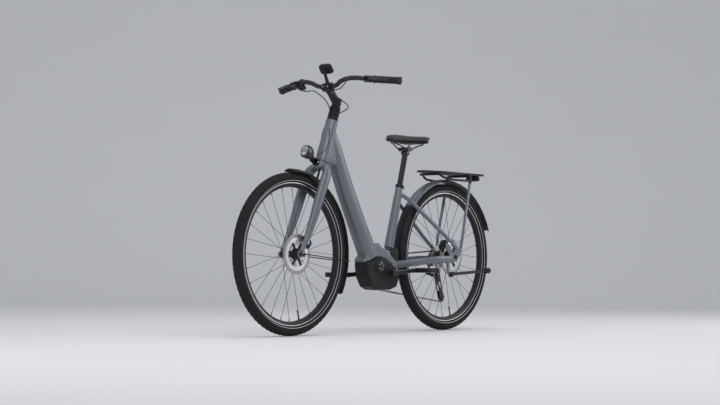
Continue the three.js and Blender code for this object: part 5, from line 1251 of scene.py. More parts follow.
# CAD pieces that are only rounded at their edges: node, finish and edge.
COCKPIT = [
    ("handlebar", "gloss", 0.0),
    ("stem", "black", 0.0016),
    ("brake_clamp_left", "black", 0.0009),
    ("brake_clamp_right", "black", 0.0009),
    ("brake_lever_left", "gloss", 0.001),
    ("brake_lever_right", "gloss", 0.001),
    ("gear_shifter", "plastic", 0.001),
    ("shift_lever", "gloss", 0.0008),
    ("display", "plastic", 0.0016),
    ("headset_cover", "plastic", 0.0008),
]


def make_grip(name, side, ribs):
    """A waisted grip with ribs, its two rings and its end cap."""
    start, end = mirrored(GRIP_START, side), mirrored(GRIP_END, side)
    run = (end - start).normalized()
    length = (end - start).length
    sleeve = [(0.0172, 0.0005), (0.0178, 0.0018), (0.0176, 0.0075), (0.0158, 0.0100), (0.0150, 0.0180)]
    sleeve += [(0.0154, length * 0.5), (0.0156, length * 0.8), (0.0166, length - 0.0120)]
    sleeve += [(0.0176, length - 0.0090), (0.0176, length + 0.0006), (0.0116, length + 0.0006), (0.0116, 0.0005)]
    grip = Form().turned([(0.0116, 0.0005), *sleeve], run, start, 40).piece(f"grip_{name}_part")
    section = [(0.0146, -0.0022), (0.0159, -0.0012), (0.0161, 0), (0.0159, 0.0012), (0.0146, 0.0022)]
    block = Form().turned(section, run, Vector(), 32).piece("grip_rib", outward=False)
    step = (length - 2 * RIB_MARGIN) / ribs
    first = start + run * (RIB_MARGIN + step / 2)
    tree("row").set(grip, block, "grip", Count=ribs, Start=tuple(first), Step=tuple(run * step))
    dress(grip, "steering", None, ["grip_" + name], smooth=50)
    rings = Form()
    for low, high in ((0.0012, 0.0074), (length - 0.0086, length - 0.0006)):
        outer = [(0.0176, low), (0.0184, low + 0.0007), (0.0184, high - 0.0007), (0.0176, high)]
        rings.turned([*outer, (0.0174, high), (0.0174, low), outer[0]], run, start, 40)
    rings.dressed(f"grip_{name}_rings", "steering", "grey", smooth=30)
    rim = (0.0168, length - 0.0002)
    dome = [rim, (0.0160, length + 0.0014), (0.0100, length + 0.0030), (0, length + 0.0034)]
    cap = Form().turned(dome, run, start, 32).turned([rim, (0, length - 0.0002)], run, start, 32)
    cap.dressed(f"grip_{name}_cap", "steering", "plastic", smooth=40)


def make_hose(name):
    path = curved(HOSE_ROUTES[name], 6)
    hose = Form().tube(path, HOSE_RADIUS, 10, 1).piece(f"hose_{name}_part")
    dress(hose, BODY_OF["hose_" + name], "hose", ["hose_" + name], smooth=60)
    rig.cord(
        hose,
        exit=tuple(path[0]),
        length=sum((b - a).length for a, b in zip(path, path[1:])),
        diameter=HOSE_RADIUS * 2,
        far_end="object",
        stiffness="medium",
        lay="hanging",
        path=[tuple(place) for place in path],
    )
    sleeve = Form().tapered([(path[0], 0.0042), (path[2], 0.0036), (path[4], 0.0027)], 16, 2.0, UP, 2)
    sleeve.dressed(f"hose_{name}_sleeve", "steering", "grip", smooth=50)


class BIKE_OT_cockpit(bpy.types.Operator):
    """Handlebar, stem, grips, levers, shifter, display and brake hoses"""

    bl_idname = "bike.cockpit"
    bl_label = "Cockpit"

    def execute(self, context):
        dress_copies(COCKPIT, 40)
        for name in ("left", "right"):
            side = SIDES[name]
            make_grip(name, side, context.scene.bike_sizes.grip_ribs)
            surface = surface_of(bpy.data.objects[f"brake_clamp_{name}_part"])
            x, y, z = average([Vector(corner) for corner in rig.box("brake_clamp_" + name)])
            seats = [((x - 0.012, y - side * 0.006, z), UP, 0.0032), ((x + 0.016, y + side * 0.004, z), UP, 0.0036)]
            fasten(bolts_on(surface, seats), f"brake_{name}_bolts", "steering")
            make_hose(name)

        seats = [((0.345, across, rise), (1, 0, 0.2), 0.0032) for across, rise in STEM_BOLTS]
        fasten(bolts_on(surface_of(bpy.data.objects["stem_part"]), seats), "stem_bolts", "steering")

        body = BODY_OF["display"]
        spots = spots_of(bpy.data.objects["display_part"])
        turned_up = HEAD_FORWARD * -math.sin(DISPLAY_TILT) + HEAD_UP * math.cos(DISPLAY_TILT)
        top = max(spot.dot(turned_up) for spot in spots)
        middle = average([spot for spot in spots if spot.dot(turned_up) > top - 0.001])
        side = turned_up.cross(LEFT).normalized()

        def flat(outline, place, lift):
            return [place + turned_up * lift + side * a + LEFT * b for a, b in outline]

        levels = ((-0.001, 1), (0.0004, 1), (0.001, 0.97))
        glass = [flat(oval(0.0205 * share, 0.031 * share, 40, 5), middle, lift) for lift, share in levels]
        Form().loft(glass).dressed("display_glass", body, "glass", smooth=30)
        keys = Form()
        for across in (-0.018, 0.0, 0.018):
            place = middle + side * -0.0228 + LEFT * across + turned_up * -0.001
            keys.loft([flat(oval(0.0016, 0.006, 16, 4), place, lift) for lift in (0, 0.0015)])
        keys.dressed("display_keys", body, "grip", merge=0, smooth=30)

        ribs = blank("headset_ribs")
        _, reach, base, crown = radial("headset_cover", HEAD_FOOT, HEAD_UP)
        section = [(reach * 0.9, -0.0016), (reach * 1.012, -0.0008), (reach * 1.012, 0.0008), (reach * 0.9, 0.0016)]
        block = Form().turned(section, HEAD_UP).piece("headset_rib", outward=False)
        first = HEAD_FOOT + HEAD_UP * (base + (crown - base) * 0.1)
        pitch = (crown - base) * 0.8 / (HEADSET_RIBS - 1)
        tree("row").set(ribs, block, "plastic", Count=HEADSET_RIBS, Start=tuple(first), Step=tuple(HEAD_UP * pitch))
        dress(ribs, BODY_OF["headset_cover"], None, smooth=30)
        return {"FINISHED"}


class BIKE_OT_headlight(bpy.types.Operator):
    """The lamp: housing with a cap, a bright reflector with cells, a clear lens and its bracket"""

    bl_idname = "bike.headlight"
    bl_label = "Headlight"

    def execute(self, context):
        body = BODY_OF["headlight"]
        shell = copy_of("headlight_part", "headlight")
        dress(shell, body, "gloss", ["headlight"], bevel=0.0014, segments=3)
        dress_copies([("headlight_bracket", "black", 0.0008)])
        ahead, lift = HEAD_FORWARD, HEAD_UP
        spots = spots_of(shell)
        front = max(spot.dot(ahead) for spot in spots)
        face = [spot for spot in spots if spot.dot(ahead) > front - 0.002]
        middle = average(face)
        tall = max((spot - middle).dot(lift) for spot in face)
        wide = max(abs((spot - middle).y) for spot in face)

        def upright(place, outline):
            return [place + LEFT * a + lift * b for a, b in outline]

        def stacked(*rings):
            """A loft of rings, each a share of the face that lies this far ahead of it."""
            shapes = [(middle + ahead * far, oval(wide * share, tall * share, 40, 3.0)) for share, far in rings]
            return [upright(place, outline) for place, outline in shapes]

        bezel = [(1.06, -0.004), (1.08, 0.0006), (1.03, 0.0024), (0.93, 0.0024), (0.91, 0.0004), (0.91, -0.004)]
        Form().loft(stacked(*bezel), closed=True).dressed("headlight_bezel", body, "gloss", smooth=30)
        bowl = [(0.9, 0.0009), (0.88, 0.0009), (0.6, 0.0002), (0.3, -0.0001)]
        Form().loft(stacked(*bowl)).dressed("headlight_reflector", body, "glass", smooth=40)
        lens = [(0.91, 0.0012), (0.91, 0.0020), (0.8, 0.0034), (0.5, 0.0048), (0.12, 0.0053)]
        Form().loft(stacked(*lens)).dressed("headlight_lens", body, "lens", smooth=60)
        lobes = Form()
        dome = [(0.0052, -0.001), (0.0052, 0.0006), (0.0044, 0.002), (0.0026, 0.0028), (0, 0.003)]
        for across in (0.36, -0.36):
            lobes.turned(dome, ahead, middle + LEFT * (wide * across) + lift * (tall * 0.44) + ahead * 0.0012, 28)
        lobes.dressed("headlight_lobes", body, "mirror", merge=0, smooth=50)
        low = middle - lift * (tall * 0.5)
        rings = []
        for deep, s in ((-0.001, 1), (0.0006, 1), (0.0016, 0.9), (0.0022, 0.6), (0.0024, 0.2)):
            rings.append(upright(low + ahead * (0.001 + deep), oval(wide * 0.56 * s, tall * 0.3 * s, 32, 2.4)))
        Form().loft(rings).dressed("headlight_low_lobe", body, "cells", smooth=50)
        crown = surface_of(shell)
        rings = []
        for back, grow in ((0.036, 0.7), (0.03, 0.96), (0.009, 1.0), (0.003, 0.9)):
            hit = crown.ray_cast(middle - ahead * back + lift * 0.1, -lift)[0]
            turns = [math.pi * k / 8 for k in range(9)]
            arch = [(wide * 0.8 * math.cos(t) * grow, 0.0034 * math.sin(t) * grow) for t in turns]
            rings.append(upright(hit - lift * 0.0009, arch))
        Form().loft(rings).dressed("headlight_cap", body, "silver", smooth=40)
        surface = surface_of(bpy.data.objects["headlight_bracket_part"])
        hinge = Vector(JOINTS["headlight_tilt"]["pos_m"])
        seats = []
        for side in (-1, 1):
            seats.append((hinge + LEFT * side * 0.01, (0, side, 0), 0.0042))
            seats.append(((0.404, side * 0.01, 0.776), (0, side, 0), 0.005))
        fasten(bolts_on(surface, seats), "headlight_bolts", BODY_OF["headlight_bracket"])
        return {"FINISHED"}


# Saddle
# Share of the length from the nose, half width, and the heights of the crown, the widest line and the base.
SADDLE_STATIONS = [
    (0.0, 0.007, 0.9275, 0.9215, 0.9150),
    (0.02, 0.013, 0.9335, 0.9245, 0.9110),
    (0.06, 0.018, 0.9385, 0.9270, 0.9080),
    (0.13, 0.021, 0.9415, 0.9290, 0.9062),
    (0.24, 0.0235, 0.9425, 0.9305, 0.9052),
    (0.37, 0.029, 0.9412, 0.9300, 0.9045),
    (0.50, 0.039, 0.9393, 0.9293, 0.9040),
    (0.62, 0.053, 0.9385, 0.9298, 0.9038),
    (0.74, 0.065, 0.9390, 0.9312, 0.9042),
    (0.85, 0.0725, 0.9403, 0.9330, 0.9052),
    (0.93, 0.0720, 0.9412, 0.9335, 0.9072),
    (0.975, 0.066, 0.9408, 0.9325, 0.9108),
    (0.995, 0.056, 0.9390, 0.9302, 0.9160),
]
SADDLE_SIDES = 36
SADDLE_INSET = 0.0022
# The cloth's pressure, and the furthest that a point may move.
PAD_PRESSURE = 4.0
PAD_REACH = 0.0026
PAD_FRAMES = 20
PAD_GRAIN = 0.0038


def saddle_ring(station, nose, length, inset):
    share, half, crown, edge, base = station
    half, crown, base = half - inset, crown - inset, base + inset * 0.6
    ring = []
    for k in range(SADDLE_SIDES):
        turn = 2 * math.pi * k / SADDLE_SIDES
        c, s = math.cos(turn), math.sin(turn)
        power = 0.74 if s > 0 else 0.92
        across = half * math.copysign(abs(c) ** power, c)
        rise = (crown - edge) * abs(s) ** power if s > 0 else -(edge - base) * abs(s) ** power
        channel = 0.0022 * math.exp(-((across / 0.011) ** 2)) if s > 0 and share > 0.3 else 0.0
        ring.append(Vector((nose - share * length, across, edge + rise - channel)))
    return ring


def swollen(piece, firm):
    """Puffs a padded piece up as cloth under pressure; firm gives each place a share that stays put."""
    modify(piece, "REMESH", mode="VOXEL", voxel_size=PAD_GRAIN, use_smooth_shade=True)
    relaxed(piece, 4)
    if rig.quick():
        return
    group = piece.vertex_groups.new(name="firm")
    for vertex in piece.data.vertices:
        group.add([vertex.index], firm(vertex.co), "REPLACE")
    modifier = piece.modifiers.new("Cloth", "CLOTH")
    modifier.settings.use_pressure = True
    modifier.settings.uniform_pressure_force = PAD_PRESSURE
    modifier.settings.effector_weights.gravity = 0
    modifier.settings.vertex_group_mass = group.name
    for number in range(1, PAD_FRAMES + 1):
        bpy.context.scene.frame_set(number)
    result = evaluated(piece)
    bpy.context.scene.frame_set(1)
    for vertex, before in zip(result.vertices, piece.data.vertices):
        move = vertex.co - before.co
        if move.length > PAD_REACH:
            vertex.co = before.co + move.normalized() * PAD_REACH
    piece.modifiers.remove(modifier)
    piece.vertex_groups.clear()
    renewed(piece, result)


class BIKE_OT_saddle(bpy.types.Operator):
    """The padded saddle with its seams and base, the rails and the seat post"""

    bl_idname = "bike.saddle"
    bl_label = "Saddle"

    def execute(self, context):
        low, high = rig.box("saddle")
        nose, length = high[0], high[0] - low[0]
        stations = eased(SADDLE_STATIONS, 3)
        pad = Form().loft([saddle_ring(s, nose - 0.0015, length - 0.003, SADDLE_INSET) for s in stations])
        piece = pad.piece("saddle_pad")

        def firm(spot):
            return min(1.0, max(0.0, (0.926 - spot.z) / 0.008))

        swollen(piece, firm)
        modify(piece, "SUBSURF", levels=1, render_levels=1)
        surface = surface_of(piece)
        dress(piece, "seat", "saddle", ["saddle"], smooth=180)
        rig.padded(piece, fill=0.9)
        for name, side in SIDES.items():
            line, welt = [], []
            for share, half, _, edge, base in SADDLE_STATIONS[2:-1]:
                line.append((nose - share * length, side * half * 0.985, edge + 0.003))
                welt.append((nose - share * length, side * half * 0.9, base + 0.006))
            seam("saddle_seam_" + name, surface, line, 0.00065, "seat", "shadow")
            seam("saddle_welt_" + name, surface, welt, 0.0015, "seat", "grip", 8)
        rings = []
        for share, half, _, _, base in eased(SADDLE_STATIONS[1:-1], 2):
            place = Vector((nose - share * length, 0, base + 0.0035))
            rings.append([place + LEFT * a + UP * b for a, b in oval(half * 0.86, 0.0052, 20, 3.0)])
        Form().loft(rings).dressed("saddle_base", "seat", "plastic", smooth=50)
        dress_copies([("saddle_rails", "grey", 0.0005)])
        dress_copies([("seatpost", "gloss", 0.0006)], 40)
        clamp = JOINTS["saddle_tilt"]["pos_m"][0]
        seats = [((clamp + x, 0.02, 0.871), LEFT, 0.0032) for x in (-0.012, 0.012)]
        fasten(bolts_on(surface_of(bpy.data.objects["saddle_rails_part"]), seats), "saddle_bolts", "seat")
        return {"FINISHED"}


# Brakes and drive
# The rotor's drilled rows: share of its reach, holes and their radius.
ROTOR_ROWS = [(0.94, 40, 0.0019), (0.865, 40, 0.0021)]
ROTOR_NOTCH = 0.0012
ROTOR_EDGE = 144
# The carrier's profile in shares of the rotor's reach and of its thickness.
CARRIER = [(0.63, -0.7), (0.80, -0.7), (0.81, -0.5), (0.81, 0.5), (0.80, 0.75), (0.64, 0.95), (0.63, 0.7)]
CARRIER.append(CARRIER[0])
CALIPER_BOSS = [(0.0105, -0.001), (0.0105, 0.0006), (0.0095, 0.0011), (0.004, 0.0011), (0.0035, 0.0004), (0, 0.0004)]
CALIPERS = {"front_caliper": "steering", "rear_caliper": "frame"}


def star(arms, inner, outer, root, tip):
    """The outline of a spider: arms that taper from root to tip and end on a ring."""
    line = []
    for k in range(arms):
        turn = 2 * math.pi * (k / arms)
        for reach, lean in ((inner, -root), (outer, -tip), (outer, tip), (inner, root)):
            line.append((reach * math.cos(turn + lean), reach * math.sin(turn + lean)))
    return line


class BIKE_OT_rotors(bpy.types.Operator):
    """Brake rotors: a pierced track, a bright carrier ring and a dark spider"""

    bl_idname = "bike.rotors"
    bl_label = "Rotors and calipers"

    def execute(self, context):
        for name, centre in WHEELS.items():
            body = name + "_wheel"
            _, reach, low, high = radial(name + "_rotor", centre)
            place = centre + LEFT * (low + high) / 2
            thick = high - low
            holes = [circle(reach * 0.79, 64)]
            for row, count, size in ROTOR_ROWS:
                for k in range(count):
                    turn = 2 * math.pi * (k + row * 10) / count
                    holes.append(circle(size, 8, reach * row * math.cos(turn), reach * row * math.sin(turn)))
            edge = []
            for k in range(ROTOR_EDGE):
                turn, far = 2 * math.pi * k / ROTOR_EDGE, reach - ROTOR_NOTCH * (k % 4 < 2)
                edge.append((far * math.cos(turn), far * math.sin(turn)))
            track = cut_plate(name + "_rotor_track", edge, holes, thick, place, 0.0002)
            dress(track, body, "track", [name + "_rotor"], smooth=30)
            carrier = Form().turned([(reach * far, thick * rise) for far, rise in CARRIER], LEFT, place, 72)
            carrier.dressed(name + "_rotor_carrier", body, "mirror", smooth=30)
            arms = rounded(star(6, 0.027, reach * 0.66, 0.22, 0.1), 0.004)
            spider = cut_plate(name + "_rotor_spider", arms, [circle(0.0165, 32)], thick * 1.5, place, 0.0004)
            dress(spider, body, "black", smooth=30)
            lock = Form().pin(0.0175, -0.0042, 0.0036, place, LEFT, 40)
            lock.dressed(name + "_rotor_lock", body, "grey", bevel=0.0006)
        for name, body in CALIPERS.items():
            piece = copy_of(name + "_part", name)
            surface = surface_of(piece)
            dress(piece, body, "black", [name], bevel=0.0011, segments=3)
            (x0, _, z0), (x1, y1, z1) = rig.box(name)
            seats = [((x0 + (x1 - x0) * s, y1, z1 + (z0 - z1) * s), LEFT, 0.0036) for s in (0.3, 0.7)]
            bolts = bolts_on(surface, seats)
            bolts.turned(CALIPER_BOSS, LEFT, Vector(((x0 + x1) / 2, y1, (z0 + z1) / 2)), 32)
            fasten(bolts, name + "_bolts", body)
        return {"FINISHED"}


CHAIN_PITCH = 0.0127
CHAIN_SIDE = -0.05
# The wheels that the chain goes round: joint, teeth and sense of turning.
SPROCKETS = [("crank_spin", 38, -1), ("tension_pulley_spin", 11, -1), ("guide_pulley_spin", 11, 1)]
SPROCKETS += [("rear_wheel_spin", 15, -1)]
# Half a link plate's thickness and half its waist.
LINK_PLATE = 0.00045
LINK_WAIST = 0.0028
MOTOR_SCREWS = 5
# The motor cover's profile, its radii in shares of the motor's face.
MOTOR_COVER = [(1.02, -0.004), (1.04, -0.0005), (0.99, 0.0022), (0.86, 0.0030), (0.82, 0.0018), (0.76, 0.0018)]
MOTOR_COVER += [(0.72, 0.0030), (0.42, 0.0036), (0.38, 0.0024), (0.30, 0.0024), (0.26, 0.0036), (0, 0.0040)]
SCREW = [(0.0031, -0.001), (0.0031, 0.0026), (0.0024, 0.0034), (0.0012, 0.0034), (0.001, 0.002), (0, 0.002)]
DRIVE = [
    ("cassette", "steel", 0.0),
    ("chainring", "grey", 0.0004),
    ("crank_left", "crank", 0.0016),
    ("crank_right", "crank", 0.0016),
    ("guide_pulley", "plastic", 0.0004),
    ("tension_pulley", "plastic", 0.0004),
    ("derailleur_body", "grey", 0.0006),
    ("derailleur_link", "grey", 0.0006),
    ("derailleur_knuckle", "plastic", 0.0006),
    ("derailleur_cage", "grey", 0.0004),
]


def pitch_radius(teeth):
    return CHAIN_PITCH / 2 / math.sin(math.pi / teeth)


def chain_line():
    """Evenly dense points of the chain's closed route in the wheel's plane."""
    circles = [(Vector(JOINTS[name]["pos_m"]), pitch_radius(teeth), sense) for name, teeth, sense in SPROCKETS]
    runs = []
    for k, (a, reach_a, sense_a) in enumerate(circles):
        b, reach_b, sense_b = circles[(k + 1) % len(circles)]
        gap = b - a
        span = math.hypot(gap.x, gap.z)
        heading = math.atan2(gap.z, gap.x) + math.asin((reach_a * sense_a - reach_b * sense_b) / span)
        normal = Vector((math.sin(heading), 0, -math.cos(heading)))
        runs.append((a + normal * reach_a * sense_a, b + normal * reach_b * sense_b))
    route = []
    for k, (centre, reach, sense) in enumerate(circles):
        arrive, leave = runs[k - 1][1], runs[k][0]
        start = math.atan2(arrive.z - centre.z, arrive.x - centre.x)
        end = math.atan2(leave.z - centre.z, leave.x - centre.x)
        sweep = (end - start) % (2 * math.pi) if sense > 0 else -((start - end) % (2 * math.pi))
        count = max(2, math.ceil(abs(sweep) * 10))
        for j in range(count + 1):
            turn = start + sweep * j / count
            route.append(Vector((centre.x + reach * math.cos(turn), CHAIN_SIDE, centre.z + reach * math.sin(turn))))
    return route


def link_block(name, half_side, wide):
    """One link of a chain: two waisted plates and the rollers at its ends."""
    half = CHAIN_PITCH / 2
    outline = []
    for end in (1, -1):
        for k in range(5):
            turn = math.radians(-70 + 35 * k) + (0 if end > 0 else math.pi)
            outline.append((end * half + wide * math.cos(turn), wide * math.sin(turn)))
        outline.append((0, LINK_WAIST * end))
    form = Form()
    for side in (-1, 1):
        form.plate(outline, side * half_side - LINK_PLATE, side * half_side + LINK_PLATE)
    for end in (-1, 1):
        form.pin(0.0038, -half_side, half_side, Vector((end * half, 0, 0)), LEFT, 10, 0.0001)
    return form.piece(name, merge=0)


class BIKE_OT_drive(bpy.types.Operator):
    """Motor cover, chain, sprockets, cranks and pedals"""

    bl_idname = "bike.drive"
    bl_label = "Drive"

    def execute(self, context):
        motor = welded("drive_motor_part", ["drive_motor"], 0.0022, 14, None, 90000)
        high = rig.box("drive_motor")[1][1]
        tops = [spot for spot in spots_of(NODES["drive_motor"]) if spot.y > high - 0.0005]
        middle = average(tops)
        reach = max((spot - middle).length for spot in tops)
        dress(motor, "frame", "casting", ["drive_motor"], smooth=60)
        cover = Form().turned([(reach * far, rise) for far, rise in MOTOR_COVER], LEFT, middle, 64)
        cover.dressed("motor_cover", "frame", "gloss", smooth=28)
        screws = Form()
        for k in range(MOTOR_SCREWS):
            turn = 2 * math.pi * (k + 0.4) / MOTOR_SCREWS
            spot = middle + Vector((math.cos(turn), 0, math.sin(turn))) * reach * 0.79
            screws.turned(SCREW, LEFT, spot, 18)
        fasten(screws, "motor_screws", "frame")

        line = chain_line()
        path = blank("chain_route")
        path.data.from_pydata(line, [(k, (k + 1) % len(line)) for k in range(len(line))], [])
        length = sum((line[k] - line[k - 1]).length for k in range(len(line)))
        links = round(length / CHAIN_PITCH / 2)
        chain = blank("chain_part")
        for phase, side, wide in ((0.0, 0.0028, 0.0043), (0.5, 0.0018, 0.0041)):
            block = link_block("link", side, wide)
            tree("route").set(chain, block, "chain", Route=path, Count=links, Phase=phase)
        remove(path)
        dress(chain, BODY_OF["chain"], None, ["chain"], smooth=40)

        dress_copies(DRIVE)
        for name in ("left", "right"):
            side = SIDES[name]
            seats = [((CRANK.x, side * 0.075, CRANK.z), (0, side, 0), 0.0095)]
            cap = bolts_on(surface_of(bpy.data.objects[f"crank_{name}_part"]), seats, 0.0025)
            fasten(cap, f"crank_{name}_bolt", BODY_OF["crank_" + name], "grey")
            dress_copies([("pedal_" + name, "plastic", 0.0012)])
            low, high = (Vector(corner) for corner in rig.box("pedal_" + name))
            middle = (low + high) / 2
            size = high - low
            pins = blank(f"pedal_{name}_pins")
            for end in (-1, 1):
                for lift in (-1, 1):
                    block = Form().pin(0.0016, -0.0012, 0.0016, Vector(), UP * lift, 8).piece("pin")
                    start = (middle.x + end * size.x * 0.42, middle.y - size.y * 0.36, middle.z + lift * size.z / 2)
                    tree("row").set(pins, block, "silver", Count=6, Start=start, Step=(0.0, size.y * 0.144, 0.0))
            dress(pins, BODY_OF["pedal_" + name], None, smooth=40)
        return {"FINISHED"}


# Pieces that keep their CAD form: merged, with broken edges and their finish.
PLAIN = [("kickstand", "black"), ("rack_platform", "black"), ("front_guard", "black"), ("rear_light", "plastic")]
# The rear guard's parts round the wheel: the angles in degrees where each starts and ends, and its finish. The split
# is painted light and shade: frame paint on the band that catches the light, black on the low part and the tail, which
# lie in shade.
GUARD_PARTS = {"low": (None, 41, "black"), "painted": (41, 83, "paint"), "back": (83, None, "black")}
# The rack's legs are painted up to this height.
RACK_PAINT_TOP = 0.728
# A black plate that darkens the rear top corner of the painted cradle behind the seat tube's foot, seen from the side,
# and half its width.
CRADLE_COVER = [(-0.0955, 0.3940), (-0.1525, 0.3963), (-0.1605, 0.3723), (-0.1615, 0.3362), (-0.1440, 0.3369)]
CRADLE_COVER += [(-0.1184, 0.3533), (-0.0975, 0.3695)]
CRADLE_HALF = 0.0354


def sliced(piece, place, outward):
    """Takes away what lies on the outward side of a plane and closes the cut."""
    with shaping(piece.data) as cut:
        everything = [*cut.verts, *cut.edges, *cut.faces]
        found = bmesh.ops.bisect_plane(cut, geom=everything, plane_co=place, plane_no=outward, clear_outer=True)
        rim = [part for part in found["geom_cut"] if isinstance(part, bmesh.types.BMEdge)]
        bmesh.ops.holes_fill(cut, edges=rim, sides=0)
        bmesh.ops.recalc_face_normals(cut, faces=cut.faces)


class BIKE_OT_plain(bpy.types.Operator):
    """Dresses the pieces that keep their CAD form, and adds their small fittings"""

    bl_idname = "bike.plain"
    bl_label = "Plain pieces"

    def execute(self, context):
        edge = context.scene.bike_sizes.edge
        dress_copies([(node, finish_name, edge) for node, finish_name in PLAIN])
        # Painted light and shade: one guard cut into a slate band where light falls and black ends where it is shaded.
        for name, (start, end, finish_name) in GUARD_PARTS.items():
            piece = copy_of("rear_guard_" + name, "rear_guard")
            for degrees, way in ((start, 1), (end, -1)):
                if degrees is not None:
                    turn = math.radians(degrees)
                    sliced(piece, REAR_HUB, Vector((math.sin(turn), 0, -math.cos(turn))) * way)
            dress(piece, "frame", finish_name, ["rear_guard"] if name == "painted" else (), bevel=edge * 0.8)
        for name, way, finish_name in (("legs", 1, "paint"), ("rails", -1, "black")):
            piece = copy_of("rack_" + name, "rack_frame")
            sliced(piece, UP * RACK_PAINT_TOP, UP * way)
            dress(piece, "frame", finish_name, ["rack_frame"] if name == "legs" else (), bevel=edge * 0.6)
        # A black plate darkens the painted cradle's rear top corner.
        cover = Form().plate(rounded(CRADLE_COVER, 0.005), -CRADLE_HALF, CRADLE_HALF)
        cover.dressed("cradle_cover", "frame", "plastic", bevel=0.0022, segments=3)

        spots = spots_of(NODES["rear_light"])
        back, low, high = min(s.x for s in spots), min(s.z for s in spots), max(s.z for s in spots)
        wide, tall = max(s.y for s in spots) * 0.86, (high - low) * 0.36
        corners = [(wide, tall), (-wide, tall), (-wide, -tall), (wide, -tall)]
        lens = Form().plate(rounded(corners, tall * 0.5), -0.004, 0.0014, Vector((back, 0, (low + high) / 2)), LEFT)
        lens.dressed("rear_light_lens", BODY_OF["rear_light"], "red", bevel=0.0008)

        pivot = Vector(JOINTS["kickstand_swing"]["pos_m"])
        spots = spots_of(NODES["kickstand"])
        reach = max((spot - pivot).length for spot in spots)
        ends = [spot for spot in spots if (spot - pivot).length > reach - 0.004]
        tip = average(ends)
        near = [spot for spot in spots if reach - 0.06 < (spot - pivot).length < reach - 0.015]
        run = (tip - (average(near) if near else pivot)).normalized()
        thick = max((spot - tip - run * (spot - tip).dot(run)).length for spot in ends) + 0.0014
        stations = [(tip + run * along, thick * share) for along, share in ((-0.034, 0.9), (-0.012, 1), (0.002, 1.04))]
        Form().tapered(stations).dressed("kickstand_foot", BODY_OF["kickstand"], "grip", bevel=0.0012)
        return {"FINISHED"}


# The studio: a pale floor that turns up into a backdrop, soft lamps and the photograph's view.
# The camera's yaw, pitch and roll in degrees, and its place from the front hub's column.
CAMERA_ANGLES = (219.30, 2.34, 0.45)
CAMERA_SPOT = Vector((5.328 + FRONT_HUB.x, 4.754, 0.300))
SENSOR_WIDTH = 36
FLOOR_HALF = 22.0
FLOOR_FRONT = -16.0
FLOOR_BACK = 5.5
FLOOR_BEND = 3
BACKDROP_TOP = 12.0
# Name, place, sizes and power of each lamp; all of them look at LAMP_TARGET.
LAMPS = [
    ("key_softbox", (2.4, 3.2, 3.6), (3.0, 2.2), 58),
    ("left_strip", (4.6, -0.4, 1.6), (1.0, 2.6), 30),
    ("rear_strip", (-3.6, 2.4, 2.0), (1.2, 2.4), 34),
    ("top_box", (-0.3, 0.2, 3.9), (3.4, 2.2), 34),
]
LAMP_TARGET = Vector((0, 0, 0.5))
SKY_COLOUR = (0.9, 0.93, 1.0, 1)
SKY_STRENGTH = 0.55


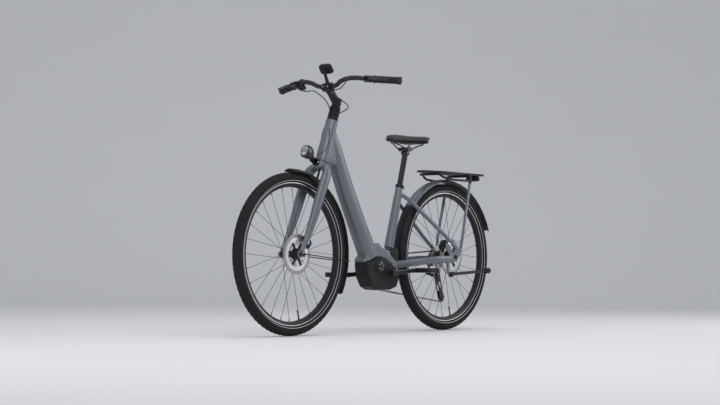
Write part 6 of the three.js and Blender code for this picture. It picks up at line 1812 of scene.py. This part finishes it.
class BIKE_OT_stage(bpy.types.Operator):
    """Makes the floor, the lamps and the camera"""

    bl_idname = "bike.stage"
    bl_label = "Studio"

    def execute(self, context):
        yaw, pitch, roll = (math.radians(angle) for angle in CAMERA_ANGLES)
        ahead = Vector((math.cos(pitch) * math.cos(yaw), math.cos(pitch) * math.sin(yaw), math.sin(pitch)))
        right = ahead.cross(UP).normalized()
        upward = right.cross(ahead)
        turned_right = right * math.cos(roll) + upward * math.sin(roll)
        turned_up = upward * math.cos(roll) - right * math.sin(roll)
        data = bpy.data.cameras.new("photo_camera")
        data.lens = context.scene.bike_sizes.lens
        data.sensor_width = SENSOR_WIDTH
        data.clip_end = 100
        camera = linked("photo_camera", data)
        facing = Matrix((turned_right, turned_up, -ahead)).transposed().to_4x4()
        camera.matrix_world = Matrix.Translation(CAMERA_SPOT) @ facing
        context.scene.camera = camera

        behind = Vector((ahead.x, ahead.y, 0)).normalized()
        bend = [(math.sin(t * math.pi / 20), 1 - math.cos(t * math.pi / 20)) for t in range(1, 11)]
        profile = [(FLOOR_FRONT, 0.0), (FLOOR_BACK, 0.0)]
        profile += [(FLOOR_BACK + FLOOR_BEND * run, FLOOR_BEND * rise) for run, rise in bend]
        profile.append((FLOOR_BACK + FLOOR_BEND, BACKDROP_TOP))
        floor = Form()
        for run, rise in profile:
            floor.points.extend(behind * run + right * across + UP * rise for across in (-FLOOR_HALF, FLOOR_HALF))
        for start in range(0, 2 * (len(profile) - 1), 2):
            floor.faces.append((start, start + 1, start + 3, start + 2))
        backdrop = floor.piece("studio_floor", outward=False)
        for face in backdrop.data.polygons:
            face.use_smooth = True
        cover = Finish("studio_floor", Roughness=0.9, Specular_IOR_Level=0.1)
        cover.set(Base_Color=cover.mix(cover.noise(1.2, 2), shade_of(("floor", 0.985)), shade_of(("floor", 1))))
        backdrop.data.materials.append(cover.material)
        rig.stage(backdrop)

        for name, place, size, power in LAMPS:
            light = bpy.data.lights.new(name, "AREA")
            light.shape = "RECTANGLE"
            light.size, light.size_y = size
            light.energy = power
            made = linked(name, light)
            made.location = place
            made.rotation_euler = (LAMP_TARGET - Vector(place)).to_track_quat("-Z", "Y").to_euler()
        world = bpy.data.worlds.new("studio_world")
        world.use_nodes = True
        sky = world.node_tree.nodes["Background"].inputs
        sky[0].default_value = SKY_COLOUR
        sky[1].default_value = SKY_STRENGTH
        context.scene.world = world
        context.scene.view_settings.view_transform = "Standard"
        return {"FINISHED"}


OPERATORS = [value for name, value in sorted(globals().items()) if name.startswith("BIKE_OT_")]


class BIKE_PT_panel(bpy.types.Panel):
    """Lists the sizes and the steps that make the bicycle"""

    bl_label = "Step Through Bike"
    bl_space_type = "VIEW_3D"
    bl_region_type = "UI"
    bl_category = "Bike"

    def draw(self, context):
        for group in (context.scene.bike_sizes, context.scene.bike_colours):
            for name in group.bl_rna.properties.keys():
                if name not in ("rna_type", "name"):
                    self.layout.prop(group, name)
        for operator in OPERATORS:
            self.layout.operator(operator.bl_idname)


CLASSES = [BikeColours, BikeSizes, *OPERATORS, BIKE_PT_panel]


def register():
    for made in CLASSES:
        bpy.utils.register_class(made)
    bpy.types.Scene.bike_colours = bpy.props.PointerProperty(type=BikeColours)
    bpy.types.Scene.bike_sizes = bpy.props.PointerProperty(type=BikeSizes)


def unregister():
    del bpy.types.Scene.bike_colours
    del bpy.types.Scene.bike_sizes
    for made in reversed(CLASSES):
        bpy.utils.unregister_class(made)


def main():
    register()
    for operator in OPERATORS:
        getattr(bpy.ops.bike, operator.bl_idname.split(".")[1])()
    sizes = {"cad": CAD_BOX, "scene": [list(corner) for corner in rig.bounds()]}
    with open("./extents.json", "w") as made:
        json.dump(sizes, made)


if __name__ == "__main__":
    main()
